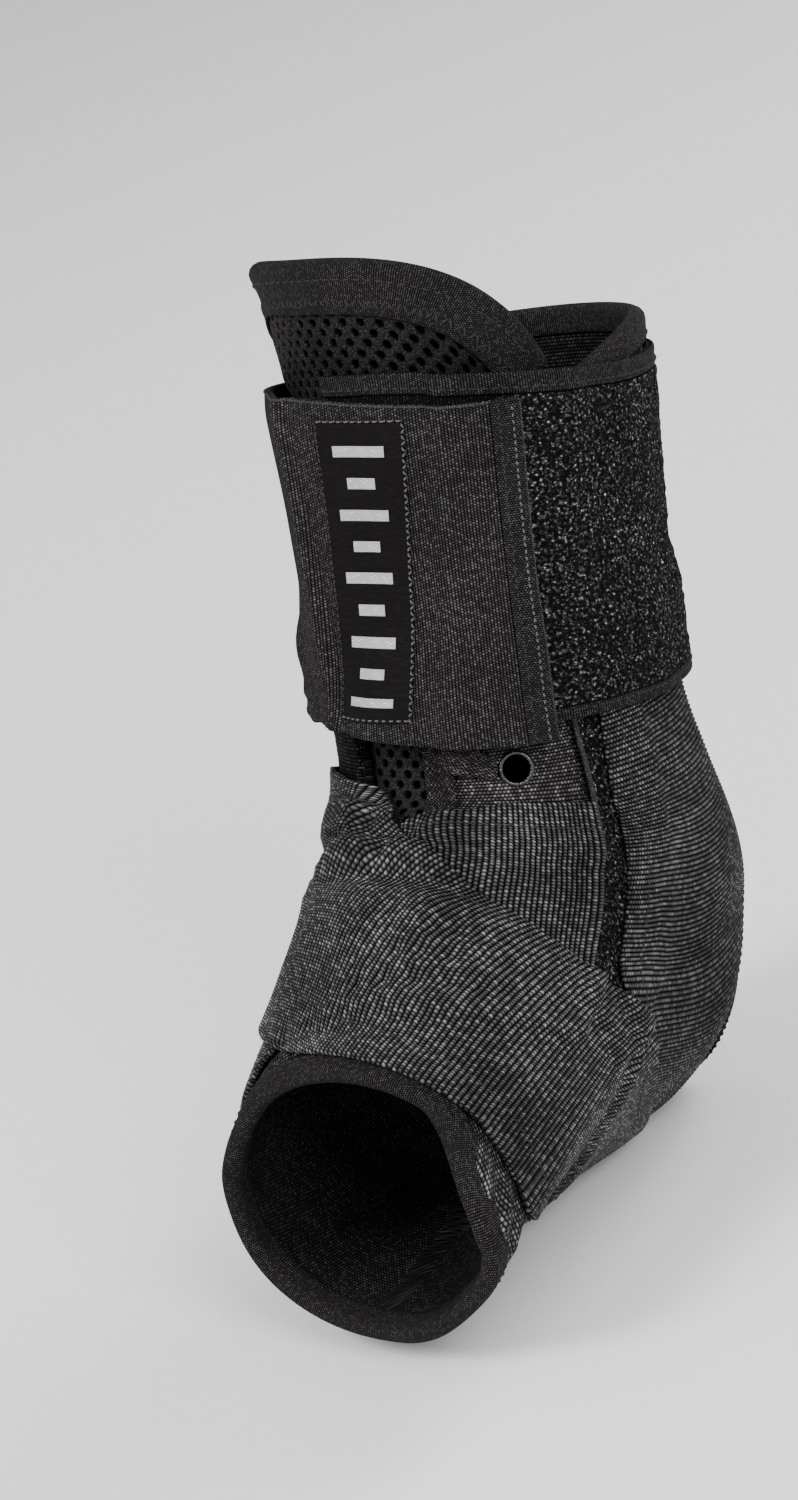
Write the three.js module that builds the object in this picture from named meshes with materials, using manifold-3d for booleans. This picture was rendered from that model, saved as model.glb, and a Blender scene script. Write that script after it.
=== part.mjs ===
// A lace-up ankle brace for the right foot, built in layers over the form of a leg and foot.
// The toes point to -Y, the inner (medial) side of the ankle is +X and the sole rests on Z = 0.
// Every piece is a thin closed shell: it follows the form at the height of what lies under it.

import * as THREE from 'three';
import Module from 'manifold-3d';
import { mergeVertices } from 'three/addons/utils/BufferGeometryUtils.js';

// Driving sizes of the form, in millimetres.
const LEG_HEIGHT = 222;
const FOOT_REACH = 125;
const ANKLE_WIDTH = 74;
const ANKLE_DEPTH = 80;

// Thicknesses of the cloths and webbings.
const TONGUE_PAD = 3.2;
const TONGUE_RIM = 1.4;
const BOOT_WALL = 2.2;
const FACING_WALL = 1.0;
const LACE_WALL = 1.1;
const LOOP_STRIP_WALL = 1.1;
const STRAP_WALL = 1.4;
const CUFF_BASE_WALL = 1.2;
const CUFF_FACE_WALL = 0.9;
const ELASTIC_WALL = 1.8;
const HEM_WALL = 0.8;
const LABEL_WALL = 0.7;
const BINDING_WALL = 0.8;

// Depths of the bands that run along the edges.
const TONGUE_BAND = 9;
const EDGE_BAND = 4.2;
const CUFF_TAPE = 4.6;
const HEM_BAND = 4.6;

// The eyelet of the inner facing.
const EYELET_RADIUS = 4.0;
const EYELET_HOLE = 2.7;
const EYELET_WALL = 0.4;
const EYELET_RISE = 0.9;

// Clearances between neighbours, and how far an upper cloth bridges off the edge of a lower one.
const GAP = 0.7;
const LINING_GAP = 0.9;
const CROSSING_GAP = 1.3;
const SEAT_GAP = 0.4;
const BRIDGE_FLAT = 5;
const BRIDGE_FALL = 13;
const LIFT_REACH = 5;

// Degrees of the form: 0 is its front, 90 the inner side of the ankle, 180 its back or the sole.
const BACK = 180;
const TURN = 360;

// Sections of the form from the shin to the toe opening. Reach, height, half width, side shift and
// the depths to the front and back are shares of the driving sizes; tilt is in degrees; square is
// the fullness of the back half and arch the hollow of the sole on the inner side.
const FORM_COLUMNS = ['reach', 'height', 'tilt', 'half', 'front', 'back', 'square', 'side', 'arch'];
const FORM_ROWS = [
  [0.240, 1.117, 10, 0.660, 0.545, 0.600, 2.0, 0.020, 0.00],
  [0.204, 1.000, 10, 0.600, 0.510, 0.570, 2.0, 0.034, 0.00],
  [0.164, 0.860, 10, 0.480, 0.462, 0.522, 2.0, 0.084, 0.00],
  [0.104, 0.671, 10, 0.448, 0.440, 0.500, 2.0, 0.062, 0.00],
  [0.048, 0.486, 11, 0.436, 0.430, 0.495, 2.0, 0.034, 0.00],
  [0.016, 0.387, 18, 0.448, 0.460, 0.600, 2.1, 0.030, 0.00],
  [-0.016, 0.309, 34, 0.470, 0.525, 0.860, 2.2, 0.002, 0.04],
  [-0.096, 0.248, 50, 0.476, 0.540, 0.900, 2.3, -0.008, 0.16],
  [-0.208, 0.207, 65, 0.478, 0.525, 0.640, 2.4, -0.010, 0.42],
  [-0.336, 0.176, 78, 0.478, 0.480, 0.450, 2.5, -0.004, 0.50],
  [-0.544, 0.144, 88, 0.474, 0.415, 0.370, 2.6, 0.022, 0.52],
  [-0.784, 0.121, 91, 0.460, 0.320, 0.315, 2.6, 0.090, 0.40],
  [-1.000, 0.101, 92, 0.480, 0.255, 0.265, 2.6, 0.130, 0.20],
];

// Routes of the two webbing straps over the form. Each row is one line across the strap, from its
// heel edge to its toe edge; rise is a place in the table of sections and turn is in degrees.
const ROUTE_COLUMNS = ['heelRise', 'heelTurn', 'toeRise', 'toeTurn'];
const OUTER_START = [
  [4.72, -62, 9.10, -76],
  [4.62, -45, 9.60, -63],
  [4.67, -26, 10.0, -50],
  [5.00, -10, 10.3, -38],
  [6.60, 6, 10.48, -26],
  [7.75, 20, 10.58, -13],
  [8.30, 34, 10.62, 5],
  [8.45, 49, 10.64, 23],
  [8.45, 64, 10.64, 42],
  [8.30, 80, 10.64, 62],
  [8.12, 96, 10.66, 82],
  [8.05, 113, 10.6, 102],
];
const INNER_START = [
  [5.18, -61, 9.20, -74],
  [5.16, -45, 9.60, -56],
  [5.20, -28, 9.95, -34],
  [5.85, -7, 10.1, -12],
  [7.40, 12, 10.2, 6],
  [8.10, 28, 10.3, 22],
  [8.40, 45, 10.38, 38],
  [8.45, 62, 10.42, 55],
  [8.30, 79, 10.46, 72],
  [8.12, 96, 10.48, 88],
  [8.05, 113, 10.45, 104],
];
const UNDER_AND_UP = [
  [8.00, 140, 10.3, 125],
  [7.90, 165, 9.90, 150],
  [7.75, 185, 9.45, 180],
  [7.40, 205, 8.95, 215],
  [7.00, 221, 8.50, 245],
  [6.35, 232, 8.12, 275],
  [5.90, 232, 7.58, 282],
  [5.30, 230, 5.90, 288],
  [4.65, 233, 4.93, 292],
  [3.70, 236, 3.75, 291],
];

// Routes of the two lengths of lace that show, from edge to edge.
const LACE_LOWER_ROUTE = [
  [4.05, 19, 4.05, 6],
  [4.60, 19, 4.60, 6],
  [5.20, 19, 5.20, 7],
  [6.60, 17, 6.60, 8],
];
const LACE_UPPER_ROUTE = [
  [4.40, 31.5, 4.76, 31.0],
  [4.24, 25, 4.62, 20],
  [4.02, 17, 4.40, 11],
  [3.78, 9, 4.16, 2],
];

// The label's upper and lower edges, from its outer to its inner side.
const LABEL_ROWS = [
  [2.36, -11, 2.38, 18],
  [3.94, -16, 3.95, 10],
];

// The eyelet's place, and its rounded flange as shares of its width and its rise.
const EYELET_AT = { rise: 4.6, turn: 37.5 };
const EYELET_ROUNDING = [
  [1.00, 0.40],
  [0.72, 1.00],
  [0.31, 0.95],
  [0.00, 0.40],
];

// How many facets each kind of piece gets.
const STRAP_LINES = 42;
const STRAP_SPLITS = 6;
const CUFF_PITCH = 8;
const CUFF_SPARE = 0.35;
const CUFF_SPLITS = 6;
const HALF_BOOT_SPLITS = 11;
const TONGUE_LINES = 19;
const TONGUE_SPLITS = 10;
const FACING_LINES = 9;
const FACING_SPLITS = 5;
const LOOP_STRIP_LINES = 14;
const LOOP_STRIP_SPLITS = 3;
const LACE_LINES = 6;
const LACE_SPLITS = 2;
const LABEL_LINES = 7;
const LABEL_SPLITS = 4;
const SHAFT_LEVELS = 6;
const OPENING_LEVELS = 9;
const SOLE_LEVELS = 9;
const EYELET_SIDES = 18;
const PATH_DETAIL = 8;
const PLACE_DIGITS = 4;
const MERGE_SIZE = 1e-4;

// Small helpers of arithmetic.
const radians = THREE.MathUtils.degToRad;
const mix = THREE.MathUtils.lerp;

function ease(value) {
  return THREE.MathUtils.smoothstep(value, 0, 1);
}

function blend(value, from, to, atFrom, atTo) {
  return mix(atFrom, atTo, ease((value - from) / (to - from)));
}

function steps(count) {
  return Array.from({ length: count + 1 }, (unused, index) => index / count);
}

// A smooth curve through the rows of a table, read at a place between its rows.
function readTable(rows, place) {
  const last = rows.length - 1;
  const index = Math.min(Math.max(Math.floor(place), 0), last - 1);
  const share = place - index;
  const rowAt = (wanted) => {
    if (wanted < 0) {
      return rows[0].map((value, column) => 2 * value - rows[1][column]);
    }
    if (wanted > last) {
      return rows[last].map((value, column) => 2 * value - rows[last - 1][column]);
    }
    return rows[wanted];
  };
  const [before, start, end, after] = [-1, 0, 1, 2].map((shift) => rowAt(index + shift));
  return start.map((value, column) => {
    const slope = (end[column] - before[column]) / 2;
    const nextSlope = (after[column] - value) / 2;
    const rise = end[column] - value;
    return value + share * (slope + share * ((3 * rise - 2 * slope - nextSlope)
      + share * (slope + nextSlope - 2 * rise)));
  });
}

// The form's cross-section at a place, in millimetres and radians.
function formSection(rise) {
  const values = readTable(FORM_ROWS, rise);
  const row = Object.fromEntries(FORM_COLUMNS.map((name, column) => [name, values[column]]));
  return {
    y: row.reach * FOOT_REACH,
    z: row.height * LEG_HEIGHT,
    x: row.side * ANKLE_WIDTH,
    half: row.half * ANKLE_WIDTH,
    front: row.front * ANKLE_DEPTH,
    back: row.back * ANKLE_DEPTH,
    tilt: radians(row.tilt),
    square: row.square,
    arch: row.arch,
  };
}

// A point on the form: an ellipse in front, a fuller superellipse behind, on a tilted plane.
function formPoint(rise, turn) {
  const section = formSection(rise);
  const cosine = Math.cos(radians(turn));
  const sine = Math.sin(radians(turn));
  const behind = cosine < 0;
  const power = 2 / (behind ? section.square : 2);
  const hollow = 1 - section.arch * ease(sine);
  const depth = behind ? section.back * hollow : section.front;
  const across = Math.sign(sine) * Math.abs(sine) ** power;
  const along = depth * Math.sign(cosine) * Math.abs(cosine) ** power;
  return new THREE.Vector3(
    section.x + section.half * across,
    section.y - Math.cos(section.tilt) * along,
    section.z + Math.sin(section.tilt) * along,
  );
}

// The form's two slopes at a place: along its length and around it.
function formSlopes(rise, turn) {
  const riseStep = 0.02;
  const turnStep = 1.0;
  const along = formPoint(rise + riseStep, turn).sub(formPoint(rise - riseStep, turn));
  const around = formPoint(rise, turn + turnStep).sub(formPoint(rise, turn - turnStep));
  along.divideScalar(2 * riseStep);
  around.divideScalar(2 * turnStep);
  return { along, around };
}

function formNormal(rise, turn) {
  const { along, around } = formSlopes(rise, turn);
  return along.cross(around).normalize();
}

// The place that lies a given distance away along the form, in a given direction.
function formStep(rise, turn, direction, distance) {
  const { along, around } = formSlopes(rise, turn);
  const alongSquare = along.dot(along);
  const aroundSquare = around.dot(around);
  const cross = along.dot(around);
  const first = along.dot(direction) * distance;
  const second = around.dot(direction) * distance;
  const bottom = alongSquare * aroundSquare - cross * cross;
  return [
    rise + (first * aroundSquare - second * cross) / bottom,
    turn + (second * alongSquare - first * cross) / bottom,
  ];
}

// Shares of a path that lie evenly along its length on the form.
function evenShares(path, count) {
  const fine = steps(PATH_DETAIL * count);
  const points = fine.map((share) => formPoint(...path(share)));
  const lengths = [0];
  for (let index = 1; index < points.length; index += 1) {
    lengths.push(lengths[index - 1] + points[index].distanceTo(points[index - 1]));
  }
  const total = lengths.at(-1);
  return steps(count).map((share) => {
    const wanted = share * total;
    const next = Math.max(1, lengths.findIndex((length) => length >= wanted));
    const part = (wanted - lengths[next - 1]) / (lengths[next] - lengths[next - 1]);
    return mix(fine[next - 1], fine[next], part);
  });
}

// Outlines of the boot and the tongue. Rises are places in the form's table, turns are in degrees.
const COLLAR = { front: 2.45, back: 2.12, from: 45, to: 125, spread: 1.5 };
const THROAT = { top: 2, middle: 5, end: 9.2, topTurn: 30, middleTurn: 19 };
const HEEL_OPENING = { rise: 6.0, half: 1.15, turn: 60, power: 2.4 };
const HEEL_BAND = { rise: 0.12, turn: 7, plain: 5 };
const BOOT_LEVELS = { front: 2.2, shaftEnd: 4.55, toeFrom: 9.5, toe: 10.9, crowding: 1.2 };
const SOLE_MM_PER_RISE = 27;
const TOE = { front: 10.78, medialDrop: 0.48, lateralDrop: 0.2, from: 35, to: 80 };
const TONGUE = { peak: 1.46, turn: -18, half: 81, shoulder: 0.8, power: 3, end: 9.3, dome: 4 };
const TONGUE_NECK = { from: 2, to: 4.4, turn: -3, half: 47 };
const TONGUE_FOOT = { to: 8.5, half: 28 };

function collarRise(turn) {
  return blend(turn, COLLAR.from, COLLAR.to, COLLAR.front, COLLAR.back);
}

function toeRise(turn) {
  const medial = (1 + Math.sin(radians(turn))) / 2;
  const drop = mix(TOE.lateralDrop, TOE.medialDrop, ease(medial));
  return TOE.front + blend(Math.abs(turn), TOE.from, TOE.to, 0, drop);
}

function throatTurn(rise) {
  return rise < THROAT.middle
    ? blend(rise, THROAT.top, THROAT.middle, THROAT.topTurn, THROAT.middleTurn)
    : blend(rise, THROAT.middle, THROAT.end, THROAT.middleTurn, 0);
}

// The turn of the heel opening's edge, or of a line a band's width outside it.
function heelTurn(rise, wider = { rise: 0, turn: 0 }) {
  const share = Math.abs(rise - HEEL_OPENING.rise) / (HEEL_OPENING.half + wider.rise);
  return BACK - (HEEL_OPENING.turn + wider.turn) * Math.max(0, 1 - share ** HEEL_OPENING.power);
}

function tongueTop(turn) {
  return TONGUE.peak
    + TONGUE.shoulder * (Math.abs(turn - TONGUE.turn) / TONGUE.half) ** TONGUE.power;
}

function tongueCentre(rise) {
  return blend(rise, TONGUE_NECK.from, TONGUE_NECK.to, TONGUE.turn, TONGUE_NECK.turn);
}

function tongueHalf(rise) {
  return rise < TONGUE_NECK.to
    ? blend(rise, TONGUE_NECK.from, TONGUE_NECK.to, TONGUE.half, TONGUE_NECK.half)
    : blend(rise, TONGUE_NECK.to, TONGUE_FOOT.to, TONGUE_NECK.half, TONGUE_FOOT.half);
}

// Share of the way from the tongue's middle to its side edge.
function tongueSide(rise, turn) {
  return Math.abs(turn - tongueCentre(rise)) / tongueHalf(rise);
}

// Rise that one millimetre takes on the shaft of the form.
const RISE_PER_MM = 1 / formPoint(3, 0).distanceTo(formPoint(4, 0));

// The cuff: a loop-faced wing from the back over the inner side, and an elastic wing over it.
// Each edge is a rise that changes from one turn to another.
const CUFF_BACK_GAP = 0.6;
const LOOP_WING = { start: -12, end: BACK - CUFF_BACK_GAP };
const ELASTIC_WING = { start: CUFF_BACK_GAP - BACK, end: 49 };
const LOOP_TOP = { from: 0, to: 110, first: 2.13, last: 2.33 };
const LOOP_BOTTOM = { from: 0, to: 110, first: 4.06, last: 4.14 };
const ELASTIC_TOP_LATERAL = { from: -130, to: -40, first: 2.32, last: 2.22 };
const ELASTIC_TOP_FRONT = { from: -40, to: 50, first: 2.22, last: 2.33 };
const ELASTIC_BOTTOM = { from: -60, to: 50, first: 3.94, last: 4.26 };

function edgeRise(edge, turn) {
  return blend(turn, edge.from, edge.to, edge.first, edge.last);
}

function loopWingTop(turn) {
  return edgeRise(LOOP_TOP, turn);
}

function loopWingBottom(turn) {
  return edgeRise(LOOP_BOTTOM, turn);
}

function elasticTop(turn) {
  return edgeRise(turn < ELASTIC_TOP_FRONT.from ? ELASTIC_TOP_LATERAL : ELASTIC_TOP_FRONT, turn);
}

function elasticBottom(turn) {
  return edgeRise(ELASTIC_BOTTOM, turn);
}

// Heights of the lowest layers over the form, and where each of them runs out.
const TONGUE_TAPE_FALL = { from: 2.35, to: 2.95 };
const TONGUE_SIDE_FALL = { from: 8, to: 24 };
const TONGUE_END_FALL = 0.9;
const THROAT_FALL = { from: 9, to: 21 };

// The tongue's thickness: domed in the middle, thin at its two sides.
function tonguePad(rise, turn) {
  return mix(TONGUE_PAD, TONGUE_RIM, Math.min(1, tongueSide(rise, turn)) ** TONGUE.dome);
}

function tongueHeight(rise, turn) {
  const tape = blend(rise, TONGUE_TAPE_FALL.from, TONGUE_TAPE_FALL.to, SEAT_GAP + BINDING_WALL, 0);
  const beyond = (tongueSide(rise, turn) - 1) * tongueHalf(rise);
  const side = blend(beyond, TONGUE_SIDE_FALL.from, TONGUE_SIDE_FALL.to, 1, 0);
  const lower = blend(rise, TONGUE.end, TONGUE.end + TONGUE_END_FALL, 1, 0);
  return (tonguePad(rise, turn) + tape) * side * lower;
}

function bootHeight(rise, turn) {
  return tongueHeight(rise, turn) + LINING_GAP;
}

// A turn brought between -180 and 180 degrees.
function signedTurn(turn) {
  return ((((turn + BACK) % TURN) + TURN) % TURN) - BACK;
}

function overBoot(rise, turn) {
  const around = signedTurn(turn);
  const short = throatTurn(rise) - Math.abs(around);
  const throat = rise > THROAT.end ? 1 : blend(short, THROAT_FALL.from, THROAT_FALL.to, 1, 0);
  return bootHeight(rise, around) + throat * (BOOT_WALL + GAP);
}

// The layers over the boot: each laid piece lifts what is laid after it.
const laidPieces = [];

function stackHeight(rise, turn) {
  const point = formPoint(rise, turn);
  return laidPieces.reduce((height, piece) => {
    const nearest = Math.min(...piece.samples.map((sample) => sample.distanceTo(point)));
    const away = Math.max(0, nearest - piece.reach - BRIDGE_FLAT);
    return height + piece.wall * (1 - ease(away / BRIDGE_FALL));
  }, overBoot(rise, turn));
}

// The highest that the layers reach within a small distance, so that flat facets clear them.
function heightAt(rise, turn) {
  const { along, around } = formSlopes(rise, turn);
  const riseReach = LIFT_REACH / along.length();
  const turnReach = LIFT_REACH / around.length();
  return Math.max(
    stackHeight(rise, turn),
    stackHeight(rise - riseReach, turn),
    stackHeight(rise + riseReach, turn),
    stackHeight(rise, turn - turnReach),
    stackHeight(rise, turn + turnReach),
  );
}

// Closed shells from quads of places: an outer skin, an inner skin and a rim on every free edge.
class Shell {
  constructor(inner, outer) {
    this.inner = inner;
    this.outer = outer;
    this.places = [];
    this.keys = new Map();
    this.triangles = [];
  }

  id(rise, turn) {
    const key = [rise, signedTurn(turn)].map((value) => value.toFixed(PLACE_DIGITS)).join();
    if (!this.keys.has(key)) {
      this.keys.set(key, this.places.length);
      this.places.push([rise, turn]);
    }
    return this.keys.get(key);
  }

  grid(rows) {
    for (let row = 1; row < rows.length; row += 1) {
      for (let column = 1; column < rows[row].length; column += 1) {
        const [a, b, c, d] = [
          rows[row - 1][column - 1], rows[row - 1][column], rows[row][column],
          rows[row][column - 1],
        ].map((place) => this.id(...place));
        [[a, b, c], [a, c, d]].filter((corners) => new Set(corners).size === 3)
          .forEach((corners) => this.triangles.push(corners));
      }
    }
    return this;
  }

  geometry() {
    const count = this.places.length;
    const skin = (height) => this.places.map((place) => liftedPoint(place, height(...place)));
    const points = [...skin(this.outer), ...skin(this.inner)];
    const triangles = this.triangles.flatMap(([a, b, c]) => (
      [[a, b, c], [c + count, b + count, a + count]]
    ));
    freeEdges(this.triangles).forEach(([from, to]) => {
      triangles.push([to, from, from + count], [to, from + count, to + count]);
    });
    return closedGeometry(points, triangles);
  }
}

function liftedPoint([rise, turn], height) {
  return formPoint(rise, turn).addScaledVector(formNormal(rise, turn), height);
}

// Edges that belong to one triangle only, each in that triangle's direction.
function freeEdges(triangles) {
  const edges = new Map();
  triangles.forEach(([a, b, c]) => {
    [[a, b], [b, c], [c, a]].forEach((edge) => edges.set(edge.join(), edge));
  });
  return [...edges.values()].filter(([from, to]) => !edges.has(`${to},${from}`));
}

// A geometry from points and triangles, turned so that its faces look outward.
function closedGeometry(points, triangles) {
  const volume = triangles.reduce((sum, [a, b, c]) => (
    sum + points[a].dot(points[b].clone().cross(points[c]))
  ), 0);
  const faces = volume < 0 ? triangles.map(([a, b, c]) => [a, c, b]) : triangles;
  const geometry = new THREE.BufferGeometry();
  geometry.setAttribute('position',
    new THREE.Float32BufferAttribute(points.flatMap((point) => point.toArray()), 3));
  geometry.setIndex(faces.flat());
  return geometry;
}

// A tape folded over the edge of a sheet. It follows the sheet's own facets along that edge, with
// a leg on each side of the sheet and a fold around its rim.
function foldedTape(name, shell, strip, rim) {
  const inStrip = new Set(strip.map((place) => shell.id(...place)));
  const onRim = new Set(rim.map((place) => shell.id(...place)));
  const facets = shell.triangles.filter((corners) => corners.every((id) => inStrip.has(id)));
  const sheetEdges = new Set(freeEdges(shell.triangles).map((edge) => edge.join()));
  const isRim = ([from, to]) => onRim.has(from) && onRim.has(to)
    && sheetEdges.has(`${from},${to}`);
  const edges = freeEdges(facets);
  const rimEdges = edges.filter(isRim);

  const ids = [...new Set(facets.flat())];
  const slot = new Map(ids.map((id, index) => [id, index]));
  const spot = (id) => formPoint(...shell.places[id]);
  const [a, b, c] = facets[0].map(spot);
  const facing = Math.sign(b.clone().sub(a).cross(c.clone().sub(a))
    .dot(formNormal(...shell.places[facets[0][0]])));
  const outward = (id) => {
    const along = new THREE.Vector3();
    rimEdges.filter((edge) => edge.includes(id)).forEach(([from, to]) => {
      along.add(spot(to).sub(spot(from)).normalize());
    });
    return along.cross(formNormal(...shell.places[id])).normalize().multiplyScalar(facing);
  };
  const skin = (height, away, spread) => ids.map((id) => {
    const place = shell.places[id];
    const point = liftedPoint(place, height(...place) + away);
    return onRim.has(id) ? point.addScaledVector(outward(id), spread) : point;
  });
  const fold = SEAT_GAP + BINDING_WALL;
  const points = [
    ...skin(shell.outer, fold, fold), ...skin(shell.outer, SEAT_GAP, SEAT_GAP),
    ...skin(shell.inner, -SEAT_GAP, SEAT_GAP), ...skin(shell.inner, -fold, fold),
  ];
  const at = (id, layer) => slot.get(id) + layer * ids.length;
  const triangles = [];
  const quad = (first, second, third, fourth) => {
    triangles.push([first, second, third], [first, third, fourth]);
  };
  facets.forEach(([first, second, third]) => {
    [0, 2].forEach((layer) => {
      triangles.push([at(first, layer), at(second, layer), at(third, layer)]);
    });
    [1, 3].forEach((layer) => {
      triangles.push([at(third, layer), at(second, layer), at(first, layer)]);
    });
  });
  edges.filter((edge) => !isRim(edge)).forEach(([from, to]) => {
    [0, 2].forEach((layer) => {
      quad(at(to, layer), at(from, layer), at(from, layer + 1), at(to, layer + 1));
    });
  });
  rimEdges.forEach(([from, to]) => {
    quad(at(to, 0), at(from, 0), at(from, 3), at(to, 3));
    quad(at(from, 1), at(to, 1), at(to, 2), at(from, 2));
  });
  const openings = freeEdges(triangles);
  ids.filter((id) => openings.filter(([from]) => from % ids.length === slot.get(id)).length === 4)
    .forEach((id) => {
      const forward = openings.some(([from, to]) => from === at(id, 0) && to === at(id, 1));
      const corners = [0, 1, 2, 3].map((layer) => at(id, layer));
      quad(...(forward ? corners.reverse() : corners));
    });
  addPiece(name, closedGeometry(points, triangles), CLOTHS.binding);
  return { samples: ids.map(spot), reach: EDGE_BAND, wall: fold };
}

// Finishes seen in the photo: all the cloth is black or charcoal, and the eyelet is glossy.
function finish(name, color, roughness, metalness = 0) {
  return new THREE.MeshStandardMaterial({ name, color, roughness, metalness });
}

const CLOTHS = {
  mesh: finish('spacer_mesh', 0x1b1b1d, 0.95),
  binding: finish('binding_tape', 0x18181a, 0.85),
  boot: finish('boot_cloth', 0x1d1d1f, 0.92),
  facing: finish('facing_weave', 0x232325, 0.88),
  loop: finish('loop_pile', 0x161617, 1.0),
  webbing: finish('webbing', 0x262628, 0.8),
  elastic: finish('elastic_knit', 0x252527, 0.85),
  lace: finish('lace_braid', 0x1e1e20, 0.85),
  label: finish('label_satin', 0x121213, 0.5),
  metal: finish('black_metal', 0x0c0c0d, 0.25, 0.8),
};

const brace = new THREE.Group();
brace.name = 'ankle_brace';

function addPiece(name, geometry, material) {
  const mesh = new THREE.Mesh(geometry, material);
  mesh.name = name;
  brace.add(mesh);
  return mesh;
}

// A sheet between two lists of edge places, seated on everything that was laid before it.
function layRoute(name, rows, wall, material, options) {
  const { lines, splits, gapAbove } = options;
  const last = rows.length - 1;
  const place = (along, across) => {
    const [heelRise, heelTurnAt, toeRiseAt, toeTurn] = readTable(rows, along * last);
    return [mix(heelRise, toeRiseAt, across), mix(heelTurnAt, toeTurn, across)];
  };
  const alongShares = evenShares((share) => place(share, 0.5), lines);
  const grid = alongShares.map((along) => (
    evenShares((share) => place(along, share), splits).map((across) => place(along, across))
  ));
  return layGrid(name, grid, wall, material, gapAbove);
}

function layGrid(name, grid, wall, material, gapAbove = GAP) {
  const heights = new Map();
  const inner = (rise, turn) => {
    const key = `${rise},${turn}`;
    if (!heights.has(key)) {
      heights.set(key, heightAt(rise, turn));
    }
    return heights.get(key);
  };
  const heightOf = (rise, turn) => inner(rise, turn) + wall;
  addPiece(name, new Shell(inner, heightOf).grid(grid).geometry(), material);
  const samples = grid.flat().map(([rise, turn]) => formPoint(rise, turn));
  const first = formPoint(...grid[0][0]);
  const reach = Math.max(
    first.distanceTo(formPoint(...grid[1][0])),
    first.distanceTo(formPoint(...grid[0][1])),
  ) / 2;
  return { samples, reach, wall: wall + gapAbove, heightOf };
}

// Solids for cutting holes.
const wasm = await Module();
wasm.setup();

function toManifold(geometry) {
  const bare = geometry.clone();
  bare.deleteAttribute('normal');
  bare.deleteAttribute('uv');
  const merged = mergeVertices(bare, MERGE_SIZE);
  return new wasm.Manifold(new wasm.Mesh({
    numProp: 3,
    vertProperties: new Float32Array(merged.attributes.position.array),
    triVerts: new Uint32Array(merged.index.array),
  }));
}

function cutHole(mesh, cutter) {
  const cut = toManifold(mesh.geometry).subtract(toManifold(cutter)).getMesh();
  const geometry = new THREE.BufferGeometry();
  geometry.setAttribute('position', new THREE.BufferAttribute(cut.vertProperties, 3));
  geometry.setIndex(new THREE.BufferAttribute(cut.triVerts, 1));
  mesh.geometry = geometry;
}

// The tongue: a padded mesh pad in the throat, with a wide tape folded over its top.
function buildTongue() {
  const length = TONGUE.end - TONGUE.peak;
  const upper = (TONGUE_BAND * RISE_PER_MM) / length;
  const shares = [0, ...steps(TONGUE_LINES - 1).map((share) => mix(upper, 1, share))];
  const rows = shares.map((down) => {
    const level = TONGUE.peak + down * length;
    const half = tongueHalf(level);
    return steps(TONGUE_SPLITS).map((across) => {
      const turn = tongueCentre(level) + mix(-half, half, across);
      return [mix(tongueTop(turn), TONGUE.end, down), turn];
    });
  });
  const shell = new Shell(() => 0, tonguePad).grid(rows);
  addPiece('tongue_pad', shell.geometry(), CLOTHS.mesh);
  foldedTape('tongue_binding', shell, rows.slice(0, 2).flat(), rows[0]);
}

// The boot: two sides that meet at the back, under the sole and below the throat.
const TOE_END = BOOT_LEVELS.toe + EDGE_BAND / SOLE_MM_PER_RISE;

function bootLevels() {
  const { front, shaftEnd, toe } = BOOT_LEVELS;
  const { rise, half } = HEEL_OPENING;
  const shaft = steps(SHAFT_LEVELS)
    .map((share) => mix(front + EDGE_BAND * RISE_PER_MM, shaftEnd, share));
  const top = rise - half - HEEL_BAND.rise;
  const bottom = rise + half + HEEL_BAND.rise;
  const opening = steps(OPENING_LEVELS).map((share) => rise - half * Math.cos(Math.PI * share));
  const sole = steps(SOLE_LEVELS).slice(1).map((share) => mix(bottom, toe, share));
  return [front, ...shaft, top, ...opening, bottom, ...sole, TOE_END];
}

// A level of the boot's grid, drawn out to the collar's edge above and the toe's edge below.
function bootPlace(level, turn, side) {
  const { front, toeFrom } = BOOT_LEVELS;
  const top = blend(level, front, front + COLLAR.spread, collarRise(turn) - front, 0);
  const toe = blend(level, toeFrom, TOE_END, 0, toeRise(side * turn) - TOE_END);
  return level + top + toe;
}

function bootRows(side) {
  return bootLevels().map((level) => {
    const band = heelTurn(level, HEEL_BAND);
    const before = band < BACK ? band : BACK - HEEL_BAND.plain;
    const turns = steps(HALF_BOOT_SPLITS - 1).map((share) => (
      mix(throatTurn(level), before, share ** BOOT_LEVELS.crowding)
    ));
    return [...turns, heelTurn(level)].map((turn) => [bootPlace(level, turn, side), side * turn]);
  });
}

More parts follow.
